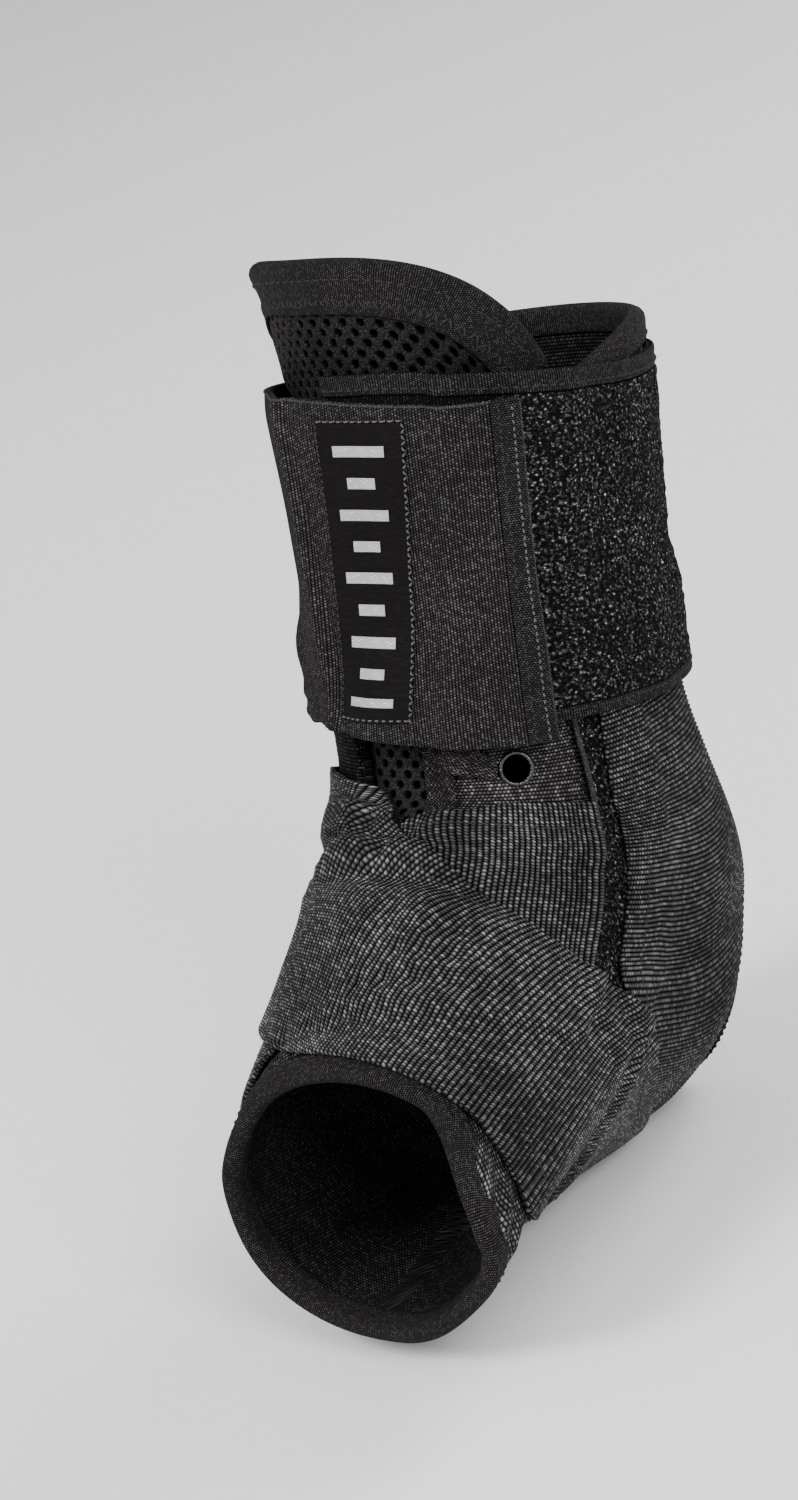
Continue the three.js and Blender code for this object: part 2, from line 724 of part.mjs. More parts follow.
function buildBoot() {
  const inside = (rise, turn) => bootHeight(rise, signedTurn(turn));
  const outside = (rise, turn) => inside(rise, turn) + BOOT_WALL;
  const shell = new Shell(inside, outside);
  const medial = bootRows(1);
  const lateral = bootRows(-1);
  shell.grid(medial);
  shell.grid(lateral.map((row) => [...row].reverse()));
  const mesh = addPiece('boot_shell', shell.geometry(), CLOTHS.boot);

  const both = (pick) => [...pick(medial), ...pick(lateral)];
  laidPieces.push(foldedTape('toe_binding', shell,
    both((rows) => rows.slice(-2).flat()), both((rows) => rows.at(-1))));
  const aboveCuff = ([rise, turn]) => rise < (turn > 0 ? loopWingTop(turn) : elasticTop(turn));
  const collar = both((rows) => rows[1].map((place, column) => [place, rows[0][column]])
    .filter(([place]) => aboveCuff(place)));
  foldedTape('collar_binding', shell, collar.flat(), collar.map(([, rim]) => rim));
  const first = 1 + SHAFT_LEVELS;
  const around = (columns) => (rows) => (
    rows.slice(first + 1, first + OPENING_LEVELS + 4).flatMap((row) => row.slice(columns)));
  laidPieces.push(foldedTape('heel_binding', shell, both(around(-2)), both(around(-1))));
  return mesh;
}

// The woven facing beside the throat, and the loop strip behind it, on one side. The line between
// them slants: its turn grows with the rise.
const STRIP_LINE = { rise: 5.18, turn: 62.4, slope: 3.23 };
const FACING = { top: 2.5, end: 6.2, fromThroat: 1.2, fromStrip: 2.6 };
const LOOP_STRIP = { top: 3.6, end: 8.7, width: 24, lateralShift: 1 };

function stripFront(rise) {
  return STRIP_LINE.turn + STRIP_LINE.slope * (rise - STRIP_LINE.rise);
}

function layFacing(name, side) {
  const grid = steps(FACING_LINES).map((down) => {
    const rise = mix(FACING.top, FACING.end, down);
    const front = throatTurn(rise) + FACING.fromThroat;
    const back = stripFront(rise) - FACING.fromStrip;
    return steps(FACING_SPLITS).map((across) => [rise, side * mix(front, back, across)]);
  });
  return layGrid(name, grid, FACING_WALL, CLOTHS.facing);
}

function layLoopStrip(name, side, shift) {
  const grid = steps(LOOP_STRIP_LINES).map((down) => {
    const rise = mix(LOOP_STRIP.top, LOOP_STRIP.end, down);
    const front = stripFront(rise) + shift;
    return steps(LOOP_STRIP_SPLITS)
      .map((across) => [rise, side * (front + across * LOOP_STRIP.width)]);
  });
  return layGrid(name, grid, LOOP_STRIP_WALL, CLOTHS.loop);
}

const CUTTER_REACH = 6;

function buildEyelet(boot, facing) {
  const { rise, turn } = EYELET_AT;
  const normal = formNormal(rise, turn);
  const base = heightAt(rise, turn) + FACING_WALL + SEAT_GAP;
  const depth = base - bootHeight(rise, turn);
  const barrel = EYELET_HOLE + EYELET_WALL;
  const flange = EYELET_ROUNDING.map(([out, up]) => (
    [mix(EYELET_HOLE, EYELET_RADIUS, out), up * EYELET_RISE]
  ));
  const profile = [
    [EYELET_HOLE, -depth], [barrel, -depth], [barrel, 0], [EYELET_RADIUS, 0],
    ...flange, [EYELET_HOLE, -depth],
  ].map(([radius, height]) => new THREE.Vector2(radius, height));
  const place = new THREE.Matrix4().compose(
    formPoint(rise, turn).addScaledVector(normal, base),
    new THREE.Quaternion().setFromUnitVectors(new THREE.Vector3(0, 1, 0), normal),
    new THREE.Vector3(1, 1, 1),
  );
  const ring = new THREE.LatheGeometry(profile, EYELET_SIDES).applyMatrix4(place);
  const cutter = new THREE.CylinderGeometry(barrel + SEAT_GAP, barrel + SEAT_GAP,
    CUTTER_REACH * depth, EYELET_SIDES).applyMatrix4(place);
  cutHole(boot, cutter);
  cutHole(facing, cutter);
  addPiece('eyelet', ring, CLOTHS.metal);
}

// Lines around the cuff: both wings share the same pitch, so that their facets lie together.
function cuffTurns(start, end) {
  const first = Math.ceil(start / CUFF_PITCH + CUFF_SPARE);
  const last = Math.floor(end / CUFF_PITCH - CUFF_SPARE);
  const inside = Array.from({ length: last - first + 1 }, (unused, index) => (
    (first + index) * CUFF_PITCH
  ));
  return [start, ...inside, end];
}

function bandGrid(turns, shares, top, bottom) {
  return turns.map((turn) => shares.map((share) => [mix(top(turn), bottom(turn), share), turn]));
}

// A sheet on top of another one, on some of its own lines.
function layOn(name, grid, parent, gap, wall, material) {
  const inner = (rise, turn) => parent.heightOf(rise, turn) + gap;
  const outer = (rise, turn) => inner(rise, turn) + wall;
  addPiece(name, new Shell(inner, outer).grid(grid).geometry(), material);
}

function layCuff() {
  const turns = cuffTurns(LOOP_WING.start, LOOP_WING.end);
  const height = (loopWingBottom(0) - loopWingTop(0)) / RISE_PER_MM;
  const tape = CUFF_TAPE / height;
  const seam = tape + SEAT_GAP / height;
  const field = steps(CUFF_SPLITS - 1).map((share) => mix(seam, 1 - seam, share));
  const shares = [0, tape, ...field, 1 - tape, 1];
  const grid = bandGrid(turns, shares, loopWingTop, loopWingBottom);
  const base = layGrid('cuff_loop_wing', grid, CUFF_BASE_WALL, CLOTHS.binding, CROSSING_GAP);
  const part = (from, to) => grid.map((line) => line.slice(from, to));
  const facing = [
    ['cuff_top_tape', part(0, 2), CLOTHS.binding],
    ['cuff_loop_pile', part(2, -2), CLOTHS.loop],
    ['cuff_bottom_tape', part(-2, undefined), CLOTHS.binding],
  ];
  facing.forEach(([name, lines, material]) => {
    layOn(name, lines, base, SEAT_GAP, CUFF_FACE_WALL, material);
  });
  base.wall += SEAT_GAP + CUFF_FACE_WALL;
  laidPieces.push(base);

  const hem = HEM_BAND / formSlopes(LABEL_ROWS[0][0], ELASTIC_WING.end).around.length();
  const { start, end } = ELASTIC_WING;
  const elasticTurns = [...cuffTurns(start, end - hem), end];
  const elasticGrid = bandGrid(elasticTurns, steps(CUFF_SPLITS), elasticTop, elasticBottom);
  const elastic = layGrid('cuff_elastic_wing', elasticGrid, ELASTIC_WALL, CLOTHS.elastic,
    CROSSING_GAP);
  layOn('cuff_end_hem', elasticGrid.slice(-2), elastic, SEAT_GAP, HEM_WALL, CLOTHS.binding);
  laidPieces.push(elastic);
  layRoute('label_patch', LABEL_ROWS, LABEL_WALL, CLOTHS.label,
    { lines: LABEL_LINES, splits: LABEL_SPLITS });
}

// Mirrors a strap's route to the other side of the form.
function mirrored(rows) {
  return rows.map(([heelRise, turn, toe, toeTurn]) => [heelRise, -turn, toe, -toeTurn]);
}

buildTongue();
const boot = buildBoot();
const medialFacing = layFacing('medial_eyelet_facing', 1);
const lateralFacing = layFacing('lateral_eyelet_facing', -1);
buildEyelet(boot, brace.getObjectByName('medial_eyelet_facing'));
laidPieces.push(medialFacing, lateralFacing);
const laceSize = { lines: LACE_LINES, splits: LACE_SPLITS };
laidPieces.push(layRoute('lace_lower', LACE_LOWER_ROUTE, LACE_WALL, CLOTHS.lace, laceSize));
laidPieces.push(layRoute('lace_upper', LACE_UPPER_ROUTE, LACE_WALL, CLOTHS.lace, laceSize));
laidPieces.push(
  layLoopStrip('medial_loop_strip', 1, 0),
  layLoopStrip('lateral_loop_strip', -1, LOOP_STRIP.lateralShift),
);
const strapSize = { lines: STRAP_LINES, splits: STRAP_SPLITS, gapAbove: CROSSING_GAP };
laidPieces.push(layRoute('strap_inner', mirrored([...INNER_START, ...UNDER_AND_UP]), STRAP_WALL,
  CLOTHS.webbing, strapSize));
laidPieces.push(layRoute('strap_outer', [...OUTER_START, ...UNDER_AND_UP], STRAP_WALL,
  CLOTHS.webbing, strapSize));
layCuff();

export default brace;
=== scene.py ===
"""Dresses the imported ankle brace: fine cloth surfaces, stitches, finishes, floor, lights and camera.

Every cloth follows one form, the shape of the leg and foot, at the height of the layers under it. A place
on the form is a rise, which counts the rows of the form's table from the shin to the toes, and a turn in
degrees: 0 is the front, 90 the inner side and 180 the back or the sole. Lengths are in millimetres until
a mesh is made.
"""
import logging
import math
from collections.abc import Callable
from dataclasses import dataclass, field, replace
from enum import Enum

import bmesh
import bpy
import numpy as np
from mathutils import Matrix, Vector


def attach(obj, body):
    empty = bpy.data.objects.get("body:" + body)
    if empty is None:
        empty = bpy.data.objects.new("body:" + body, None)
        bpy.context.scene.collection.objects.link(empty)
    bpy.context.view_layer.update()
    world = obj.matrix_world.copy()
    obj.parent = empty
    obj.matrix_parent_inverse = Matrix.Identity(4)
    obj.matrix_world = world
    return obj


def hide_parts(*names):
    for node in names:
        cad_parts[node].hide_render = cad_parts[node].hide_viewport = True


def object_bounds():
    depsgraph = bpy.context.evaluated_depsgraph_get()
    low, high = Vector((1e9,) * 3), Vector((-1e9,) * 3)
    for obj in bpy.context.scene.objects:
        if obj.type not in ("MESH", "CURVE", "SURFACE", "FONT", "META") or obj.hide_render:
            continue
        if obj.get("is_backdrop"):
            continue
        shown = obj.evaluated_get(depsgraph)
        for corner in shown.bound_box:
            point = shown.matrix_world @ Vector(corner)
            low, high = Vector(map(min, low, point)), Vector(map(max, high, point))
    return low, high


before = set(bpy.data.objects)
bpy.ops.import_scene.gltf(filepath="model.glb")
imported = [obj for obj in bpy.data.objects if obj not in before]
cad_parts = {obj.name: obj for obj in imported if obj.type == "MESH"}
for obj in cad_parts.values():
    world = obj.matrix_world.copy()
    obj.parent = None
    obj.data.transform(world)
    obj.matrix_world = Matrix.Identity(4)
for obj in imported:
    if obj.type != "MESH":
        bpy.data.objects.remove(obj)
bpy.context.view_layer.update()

LOG = logging.getLogger("ankle_brace")
Array = np.ndarray
Socket = bpy.types.NodeSocket

METRES = 0.001
BACK = 180.0
FULL_TURN = 360.0
CLOTH_MAP = "Cloth"
BODY = "root"
SEED = 7
ROUTE_SAMPLES = 40
PLACE_DIGITS = 5


# Arithmetic on whole arrays.
def ease(value: Array | float) -> Array:
    """Smooth step: 3t squared less 2t cubed, with t held between 0 and 1."""
    share = np.clip(value, 0.0, 1.0)
    return share * share * (3.0 - 2.0 * share)


def mix(first: Array | float, second: Array | float, share: Array | float) -> Array:
    """Straight mix: the first value plus a share of the way to the second."""
    return first + (second - first) * share


def blend(value: Array | float, start: float, end: float, at_start: Array | float,
          at_end: Array | float) -> Array:
    """Mix of two values, eased from the first at start to the second at end."""
    return mix(at_start, at_end, ease((value - start) / (end - start)))


def signed_turn(turn: Array) -> Array:
    """A turn brought between -180 and 180 degrees."""
    return np.mod(np.asarray(turn) + BACK, FULL_TURN) - BACK


def read_table(rows: Array, place: Array) -> Array:
    """Values of a smooth curve through the rows of a table.

    Between two rows it is the cubic whose slope at each row is half the step between its neighbours.

    Args:
        rows: the table, one row per whole place.
        place: places to read, of any shape.

    Returns:
        The values, with the table's columns as the last axis.
    """
    first = 2.0 * rows[0] - rows[1]
    last = 2.0 * rows[-1] - rows[-2]
    padded = np.vstack([first, rows, last])
    index = np.clip(np.floor(place).astype(int), 0, len(rows) - 2)
    share = (np.asarray(place) - index)[..., None]
    before, start, end, after = (padded[index + shift] for shift in range(4))
    slope = (end - before) / 2.0
    next_slope = (after - start) / 2.0
    rise = end - start
    cubic = 3.0 * rise - 2.0 * slope - next_slope + share * (slope + next_slope - 2.0 * rise)
    return start + share * (slope + share * cubic)


def stations(length: float, spacing: float, edge: float) -> Array:
    """Distances along a length: evenly spaced inside, with three more near each end for a rounded edge."""
    near_edge = edge * np.array([0.0, 0.12, 0.45])
    inside = np.linspace(edge, length - edge, max(2, round((length - 2.0 * edge) / spacing) + 1))
    return np.concatenate([near_edge, inside, (length - near_edge)[::-1]])


def path_lengths(points: Array, axis: int = 0) -> Array:
    """Running length of a path of points, measured along an axis."""
    steps = np.linalg.norm(np.diff(points, axis=axis), axis=-1)
    first = np.zeros_like(np.take(steps, [0], axis=axis))
    return np.concatenate([first, np.cumsum(steps, axis=axis)], axis=axis)


def full_circle(count: int) -> Array:
    """Angles of even steps round a circle, in radians."""
    return np.linspace(0.0, 2.0 * math.pi, count + 1)[:-1]


def unit(vectors: Array) -> Array:
    """Vectors brought to a length of one."""
    return vectors / np.linalg.norm(vectors, axis=-1, keepdims=True)


def joined(*corners: Array) -> Array:
    """Polygons from the vertex numbers at each of their corners, a row for each polygon."""
    return np.stack(corners, axis=-1).reshape(-1, len(corners))


def grown_noise(shape: tuple[int, int], passes: int, seed: int) -> Array:
    """Seeded random grid, averaged with its neighbours a number of times and scaled to about -1 to 1.

    Args:
        shape: rows and columns.
        passes: how often it is averaged.
        seed: seed of the random numbers.

    Returns:
        The grid of values.
    """
    values = np.random.default_rng(seed).standard_normal(shape)
    for _ in range(passes):
        for axis in (0, 1):
            values = (np.roll(values, 1, axis) + 2.0 * values + np.roll(values, -1, axis)) / 4.0
    return np.clip(values / (2.2 * values.std()), -1.0, 1.0)


@dataclass(frozen=True)
class Form:
    """The shape that the brace is worn on: tilted sections, an ellipse in front and fuller behind."""

    leg_height: float = 222.0
    foot_reach: float = 125.0
    ankle_width: float = 74.0
    ankle_depth: float = 80.0
    rise_step: float = 0.02
    turn_step: float = 1.0
    # Columns: reach, height, tilt, half, front, back, square, side, arch.
    rows: Array = field(default_factory=lambda: np.array([
        [0.240, 1.117, 10, 0.660, 0.545, 0.600, 2.0, 0.020, 0.00],
        [0.204, 1.000, 10, 0.600, 0.510, 0.570, 2.0, 0.034, 0.00],
        [0.164, 0.860, 10, 0.480, 0.462, 0.522, 2.0, 0.084, 0.00],
        [0.104, 0.671, 10, 0.448, 0.440, 0.500, 2.0, 0.062, 0.00],
        [0.048, 0.486, 11, 0.436, 0.430, 0.495, 2.0, 0.034, 0.00],
        [0.016, 0.387, 18, 0.448, 0.460, 0.600, 2.1, 0.030, 0.00],
        [-0.016, 0.309, 34, 0.470, 0.525, 0.860, 2.2, 0.002, 0.04],
        [-0.096, 0.248, 50, 0.476, 0.540, 0.900, 2.3, -0.008, 0.16],
        [-0.208, 0.207, 65, 0.478, 0.525, 0.640, 2.4, -0.010, 0.42],
        [-0.336, 0.176, 78, 0.478, 0.480, 0.450, 2.5, -0.004, 0.50],
        [-0.544, 0.144, 88, 0.474, 0.415, 0.370, 2.6, 0.022, 0.52],
        [-0.784, 0.121, 91, 0.460, 0.320, 0.315, 2.6, 0.090, 0.40],
        [-1.000, 0.101, 92, 0.480, 0.255, 0.265, 2.6, 0.130, 0.20],
    ]))

    def point(self, rise: Array, turn: Array) -> Array:
        """Point of the form: the section's centre, plus half times the sine across it and depth times the
        cosine along its tilted plane, each raised to two over its fullness behind.

        Args:
            rise: rise of each place.
            turn: turn of each place, in degrees.

        Returns:
            The points, in millimetres.
        """
        rise, turn = np.broadcast_arrays(np.asarray(rise, float), np.asarray(turn, float))
        reach, height, tilt, half, front, back, square, side, arch = np.moveaxis(
            read_table(self.rows, rise), -1, 0)
        cosine = np.cos(np.radians(turn))
        sine = np.sin(np.radians(turn))
        behind = cosine < 0.0
        power = np.where(behind, 2.0 / square, 1.0)
        depth = self.ankle_depth * np.where(behind, back * (1.0 - arch * ease(sine)), front)
        across = np.sign(sine) * np.abs(sine) ** power
        along = depth * np.sign(cosine) * np.abs(cosine) ** power
        tilt = np.radians(tilt)
        return np.stack([
            self.ankle_width * (side + half * across),
            self.foot_reach * reach - np.cos(tilt) * along,
            self.leg_height * height + np.sin(tilt) * along,
        ], axis=-1)

    def slopes(self, rise: Array, turn: Array) -> tuple[Array, Array]:
        """Steps in space for one rise and for one degree, each from the points on its two sides."""
        along = self.point(rise + self.rise_step, turn) - self.point(rise - self.rise_step, turn)
        around = self.point(rise, turn + self.turn_step) - self.point(rise, turn - self.turn_step)
        return along / (2.0 * self.rise_step), around / (2.0 * self.turn_step)

    def normal(self, rise: Array, turn: Array) -> Array:
        """Outward unit direction: the cross product of the two slopes."""
        return unit(np.cross(*self.slopes(rise, turn)))

    def lifted(self, rise: Array, turn: Array, height: Array) -> Array:
        """Points at a height over the form, along its outward direction."""
        return self.point(rise, turn) + self.normal(rise, turn) * np.asarray(height)[..., None]

    def step(self, rise: Array, turn: Array, direction: Array) -> tuple[Array, Array]:
        """Places reached from others by a step in space, solved from the two slopes there.

        Args:
            rise: rise of each place.
            turn: turn of each place, in degrees.
            direction: the step in space, in millimetres.

        Returns:
            The rises and turns that are reached.
        """
        along, around = self.slopes(rise, turn)
        along_square = (along * along).sum(-1)
        around_square = (around * around).sum(-1)
        cross = (along * around).sum(-1)
        first = (along * direction).sum(-1)
        second = (around * direction).sum(-1)
        bottom = along_square * around_square - cross * cross
        return (rise + (first * around_square - second * cross) / bottom,
                turn + (second * along_square - first * cross) / bottom)

    def rise_per_mm(self) -> float:
        """Rise that one millimetre takes on the shaft."""
        return 1.0 / float(np.linalg.norm(self.point(3.0, 0.0) - self.point(4.0, 0.0)))


@dataclass(frozen=True)
class Walls:
    """Thicknesses of the cloths, and the clearances between them."""

    tongue_pad: float = 3.2
    tongue_rim: float = 1.4
    boot: float = 2.2
    facing: float = 1.0
    lace: float = 1.1
    loop_strip: float = 1.1
    strap: float = 1.4
    cuff_base: float = 1.2
    cuff_face: float = 0.9
    elastic: float = 1.8
    hem: float = 0.8
    label: float = 0.7
    tape: float = 0.8
    gap: float = 0.5
    lining_gap: float = 0.9
    crossing_gap: float = 0.8
    seat_gap: float = 0.3


@dataclass(frozen=True)
class Outline:
    """Outlines of the tongue and the boot, as functions of rise and turn."""

    walls: Walls
    tongue_peak: float = 1.46
    tongue_turn: float = -18.0
    tongue_half: float = 81.0
    tongue_shoulder: float = 0.8
    tongue_end: float = 9.3
    neck_from: float = 2.0
    neck_to: float = 4.4
    neck_turn: float = -3.0
    neck_half: float = 47.0
    tip_from: float = 8.5
    tip_half: float = 28.0
    tape_ends: tuple[float, float] = (2.35, 2.95)
    side_fall: tuple[float, float] = (5.0, 20.0)
    lower_fall: float = 0.9
    lean: float = 4.5
    lean_turns: tuple[float, float] = (-75.0, -30.0)
    lean_starts: tuple[float, float] = (1.55, 2.0)
    lean_ends: tuple[float, float] = (2.2, 2.44)
    throat_from: float = 2.0
    throat_bend: float = 5.0
    throat_end: float = 9.2
    throat_top_turn: float = 30.0
    throat_bend_turn: float = 19.0
    throat_fall: tuple[float, float] = (1.0, 7.0)
    collar_front: float = 2.45
    collar_back: float = 2.19
    collar_turns: tuple[float, float] = (45.0, 125.0)
    collar_reach: float = 1.5
    boot_top: float = 2.2
    boot_toe: float = 10.9
    sole_mm_per_rise: float = 27.0
    edge_band: float = 4.2
    toe_from: float = 9.5
    toe_front: float = 10.68
    toe_turns: tuple[float, float] = (35.0, 80.0)
    toe_medial_drop: float = 0.48
    toe_lateral_drop: float = 0.2
    heel_rise: float = 6.0
    heel_half: float = 1.15
    heel_turn: float = 60.0
    heel_power: float = 2.4

    def tongue_top(self, turn: Array) -> Array:
        """Rise of the tongue's top edge: its peak, plus a shoulder that grows as the cube of the way out."""
        return self.tongue_peak + self.tongue_shoulder * (
            np.abs(turn - self.tongue_turn) / self.tongue_half) ** 3

    def tongue_centre(self, rise: Array) -> Array:
        """Turn of the tongue's middle line."""
        return blend(rise, self.neck_from, self.neck_to, self.tongue_turn, self.neck_turn)

    def tongue_half_turn(self, rise: Array) -> Array:
        """Half of the tongue's width, in degrees: wide at the top, narrow in the throat."""
        upper = blend(rise, self.neck_from, self.neck_to, self.tongue_half, self.neck_half)
        return np.where(rise < self.neck_to, upper,
                        blend(rise, self.neck_to, self.tip_from, self.neck_half, self.tip_half))

    def tongue_side(self, rise: Array, turn: Array) -> Array:
        """Share of the way from the tongue's middle to its side edge."""
        return np.abs(turn - self.tongue_centre(rise)) / self.tongue_half_turn(rise)

    def tongue_lean(self, rise: Array, turn: Array) -> Array:
        """How far the tongue's outer side leans out of the collar, to the elastic wing."""
        side = blend(turn, *self.lean_turns, 1.0, 0.0)
        top = blend(rise, *self.lean_starts, 0.0, 1.0)
        return self.lean * side * top * blend(rise, *self.lean_ends, 1.0, 0.0)

    def tongue_pad(self, rise: Array, turn: Array) -> Array:
        """Tongue's thickness: domed by the fourth power of the way to its side."""
        side = np.minimum(1.0, self.tongue_side(rise, turn))
        return mix(self.walls.tongue_pad, self.walls.tongue_rim, side ** 4)

    def tongue_height(self, rise: Array, turn: Array) -> Array:
        """Height of the tongue and its tape, eased to nothing past its sides and its lower end.

        Args:
            rise: rise of each place.
            turn: turn of each place, in degrees.

        Returns:
            The height in millimetres.
        """
        tape = blend(rise, *self.tape_ends, self.walls.seat_gap + self.walls.tape, 0.0)
        beyond = (self.tongue_side(rise, turn) - 1.0) * self.tongue_half_turn(rise)
        side = blend(beyond, *self.side_fall, 1.0, 0.0)
        lower = blend(rise, self.tongue_end, self.tongue_end + self.lower_fall, 1.0, 0.0)
        return (self.tongue_pad(rise, turn) + tape) * side * lower

    def throat_turn(self, rise: Array) -> Array:
        """Turn of the boot's throat edge, which narrows to nothing at the toes."""
        upper = blend(rise, self.throat_from, self.throat_bend, self.throat_top_turn, self.throat_bend_turn)
        return np.where(rise < self.throat_bend, upper,
                        blend(rise, self.throat_bend, self.throat_end, self.throat_bend_turn, 0.0))

    def heel_edge(self, rise: Array) -> Array:
        """Turn of the heel opening's edge, a superellipse round its middle."""
        share = np.abs(rise - self.heel_rise) / self.heel_half
        return BACK - self.heel_turn * np.maximum(0.0, 1.0 - share ** self.heel_power)

    def boot_height(self, rise: Array, turn: Array) -> Array:
        """Height of the boot's inner skin, over the tongue."""
        return self.tongue_height(rise, signed_turn(turn)) + self.walls.lining_gap

    def over_boot(self, rise: Array, turn: Array) -> Array:
        """Height over the boot, which falls to the tongue inside the throat.

        Args:
            rise: rise of each place.
            turn: turn of each place, in degrees.

        Returns:
            The height in millimetres.
        """
        around = signed_turn(turn)
        short = self.throat_turn(rise) - np.abs(around)
        wall = np.where(rise > self.throat_end, 1.0, blend(short, *self.throat_fall, 1.0, 0.0))
        return self.boot_height(rise, around) + wall * (self.walls.boot + self.walls.gap)

    def toe_end(self) -> float:
        """Level of the boot's last line, at the toe edge."""
        return self.boot_toe + self.edge_band / self.sole_mm_per_rise

    def boot_place(self, level: Array, turn: Array) -> Array:
        """Rise of a level of the boot, drawn out to the collar's edge above and the toe's edge below.

        Args:
            level: level of each place, even from the collar to the toes.
            turn: turn of each place, in degrees.

        Returns:
            The rise of each place.
        """
        collar = blend(np.abs(turn), *self.collar_turns, self.collar_front, self.collar_back)
        medial = (1.0 + np.sin(np.radians(turn))) / 2.0
        drop = mix(self.toe_lateral_drop, self.toe_medial_drop, ease(medial))
        toe = self.toe_front + blend(np.abs(turn), *self.toe_turns, 0.0, drop)
        top = blend(level, self.boot_top, self.boot_top + self.collar_reach, collar - self.boot_top, 0.0)
        end = blend(level, self.toe_from, self.toe_end(), 0.0, toe - self.toe_end())
        return level + top + end


@dataclass(frozen=True)
class Drape:
    """How a cloth leaves the one under it: how far it stays flat, and over what length it falls."""

    flat: float
    fall: float


CLOSE = Drape(1.2, 3.2)
BRIDGING = Drape(5.0, 13.0)


@dataclass(frozen=True)
class Laid:
    """A cloth that has been laid: spots on the form under it, and how much it lifts the next one."""

    spots: Array
    lift: float


@dataclass
class Layers:
    """Heights over the form at which each next cloth lies."""

    form: Form
    outline: Outline
    chunk: int = 2048
    laid: list[Laid] = field(default_factory=list)

    def lay(self, rise: Array, turn: Array, lift: float, spacing: float = 1.6) -> None:
        """Adds a cloth on a grid of places, thinned to spots about a spacing apart.

        Args:
            rise: rise of each place.
            turn: turn of each place, in degrees.
            lift: how much it lifts the next cloth, in millimetres.
            spacing: distance between its spots.
        """
        points = self.form.point(rise, turn)
        for axis in (0, 1):
            length = float(path_lengths(points, axis).max())
            count = min(points.shape[axis], max(2, round(length / spacing)))
            chosen = np.unique(np.linspace(0, points.shape[axis] - 1, count).astype(int))
            points = np.take(points, chosen, axis=axis)
        self.laid.append(Laid(points.reshape(-1, 3), lift))

    def height(self, rise: Array, turn: Array, drape: Drape = CLOSE) -> Array:
        """Height over everything laid: the boot's, plus each cloth's lift, eased off past its edge.

        Args:
            rise: rise of each place.
            turn: turn of each place, in degrees.
            drape: how the cloth above bridges the edges below.

        Returns:
            The height in millimetres.
        """
        rise, turn = np.broadcast_arrays(rise, turn)
        total = self.outline.over_boot(rise, turn)
        points = self.form.point(rise, turn).reshape(-1, 3)
        for cloth in self.laid:
            nearest = self.nearest(points, cloth.spots)
            away = np.maximum(0.0, nearest - drape.flat) / drape.fall
            total = total + (cloth.lift * (1.0 - ease(away))).reshape(total.shape)
        return total

    def nearest(self, points: Array, spots: Array) -> Array:
        """Distance from each point to its nearest spot, by the expanded square of the difference.

        Args:
            points: points in millimetres.
            spots: the laid cloth's spots.

        Returns:
            The distances in millimetres.
        """
        spots_square = (spots * spots).sum(-1)
        found = np.empty(len(points))
        for start in range(0, len(points), self.chunk):
            part = points[start:start + self.chunk]
            squares = (part * part).sum(-1)[:, None] + spots_square - 2.0 * part @ spots.T
            found[start:start + self.chunk] = np.sqrt(np.maximum(squares.min(1), 0.0))
        return found


class Weave(Enum):
    """Kinds of surface that a finish can have."""

    CELLS = "cells"
    PILE = "pile"
    HOLES = "holes"
    PLAIN = "plain"


@dataclass(frozen=True)
class Finish:
    """A finish: its colours, gloss and weave. Pitches are in millimetres on the cloth."""

    name: str
    slot: str
    dark: float
    light: float
    weave: Weave = Weave.CELLS
    along: float = 1.0
    across: float = 1.0
    stagger: float = 0.5
    chevron: float = 0.0
    chevron_width: float = 4.0
    roughness: float = 0.8
    bump: float = 0.35
    gloss: float = 0.03
    warmth: float = 0.0
    speckle: float = 0.5
    coat: float = 0.0
    # Strength of the slow mottle: partly uneven tone, partly painted shade of shallow creases.
    tone_and_shade_mottle: float = 2.0

    def colour(self, value: float) -> tuple[float, float, float, float]:
        """A grey of a value, leaning warm or cool."""
        return (value * (1.0 + self.warmth), value * (1.0 - 0.8 * self.warmth),
                value * (1.0 - 0.2 * self.warmth), 1.0)


WEBBING = Finish("ribbed webbing", "strap_webbing", 0.0005, 0.42, along=1.18, across=0.78,
                 roughness=0.72, bump=0.7, warmth=0.015, speckle=0.4)
ELASTIC = Finish("elastic knit", "elastic_knit", 0.001, 0.21, along=0.5, across=0.62,
                 roughness=0.78, bump=0.6, warmth=0.05, speckle=0.38, tone_and_shade_mottle=0.7)
PILE = Finish("loop pile", "loop_pile", 0.0025, 1.0, Weave.PILE, along=0.86,
              roughness=0.95, bump=1.0, warmth=0.03, speckle=2.0, tone_and_shade_mottle=0.8)
MESH = Finish("spacer mesh", "spacer_mesh", 0.0005, 0.13, Weave.HOLES, along=2.4, across=4.3,
              roughness=0.85, bump=0.6, warmth=0.04, speckle=0.9)
TAPE = Finish("binding tape", "binding_tape", 0.0008, 0.18, along=0.5, across=0.5,
              roughness=0.75, bump=0.55, warmth=0.04, speckle=0.3, tone_and_shade_mottle=0.6)
BACKING = Finish("cuff backing", "cuff_backing", 0.002, 0.04, along=0.6, across=0.6, roughness=0.85)
# Near-black disc in the eyelet's hole: painted shade of the hole's inside.
EYELET_HOLE_SHADE = Finish("eyelet hole painted shade", "cuff_backing", 0.0005, 0.002, along=0.6, across=0.6, roughness=0.95,
                gloss=0.0)
BOOT_CLOTH = Finish("boot cloth", "boot_cloth", 0.001, 0.34, along=1.2, across=0.9,
                    roughness=0.8, bump=0.7, speckle=0.55)
BOOT_LINING = Finish("boot lining", "boot_cloth", 0.001, 0.1, along=0.8, across=0.8,
                     roughness=0.9, bump=0.4, speckle=0.4)
FACING = Finish("facing weave", "facing_weave", 0.001, 0.32, along=0.78, across=0.72,
                roughness=0.75, bump=0.7, warmth=0.05, speckle=0.6)
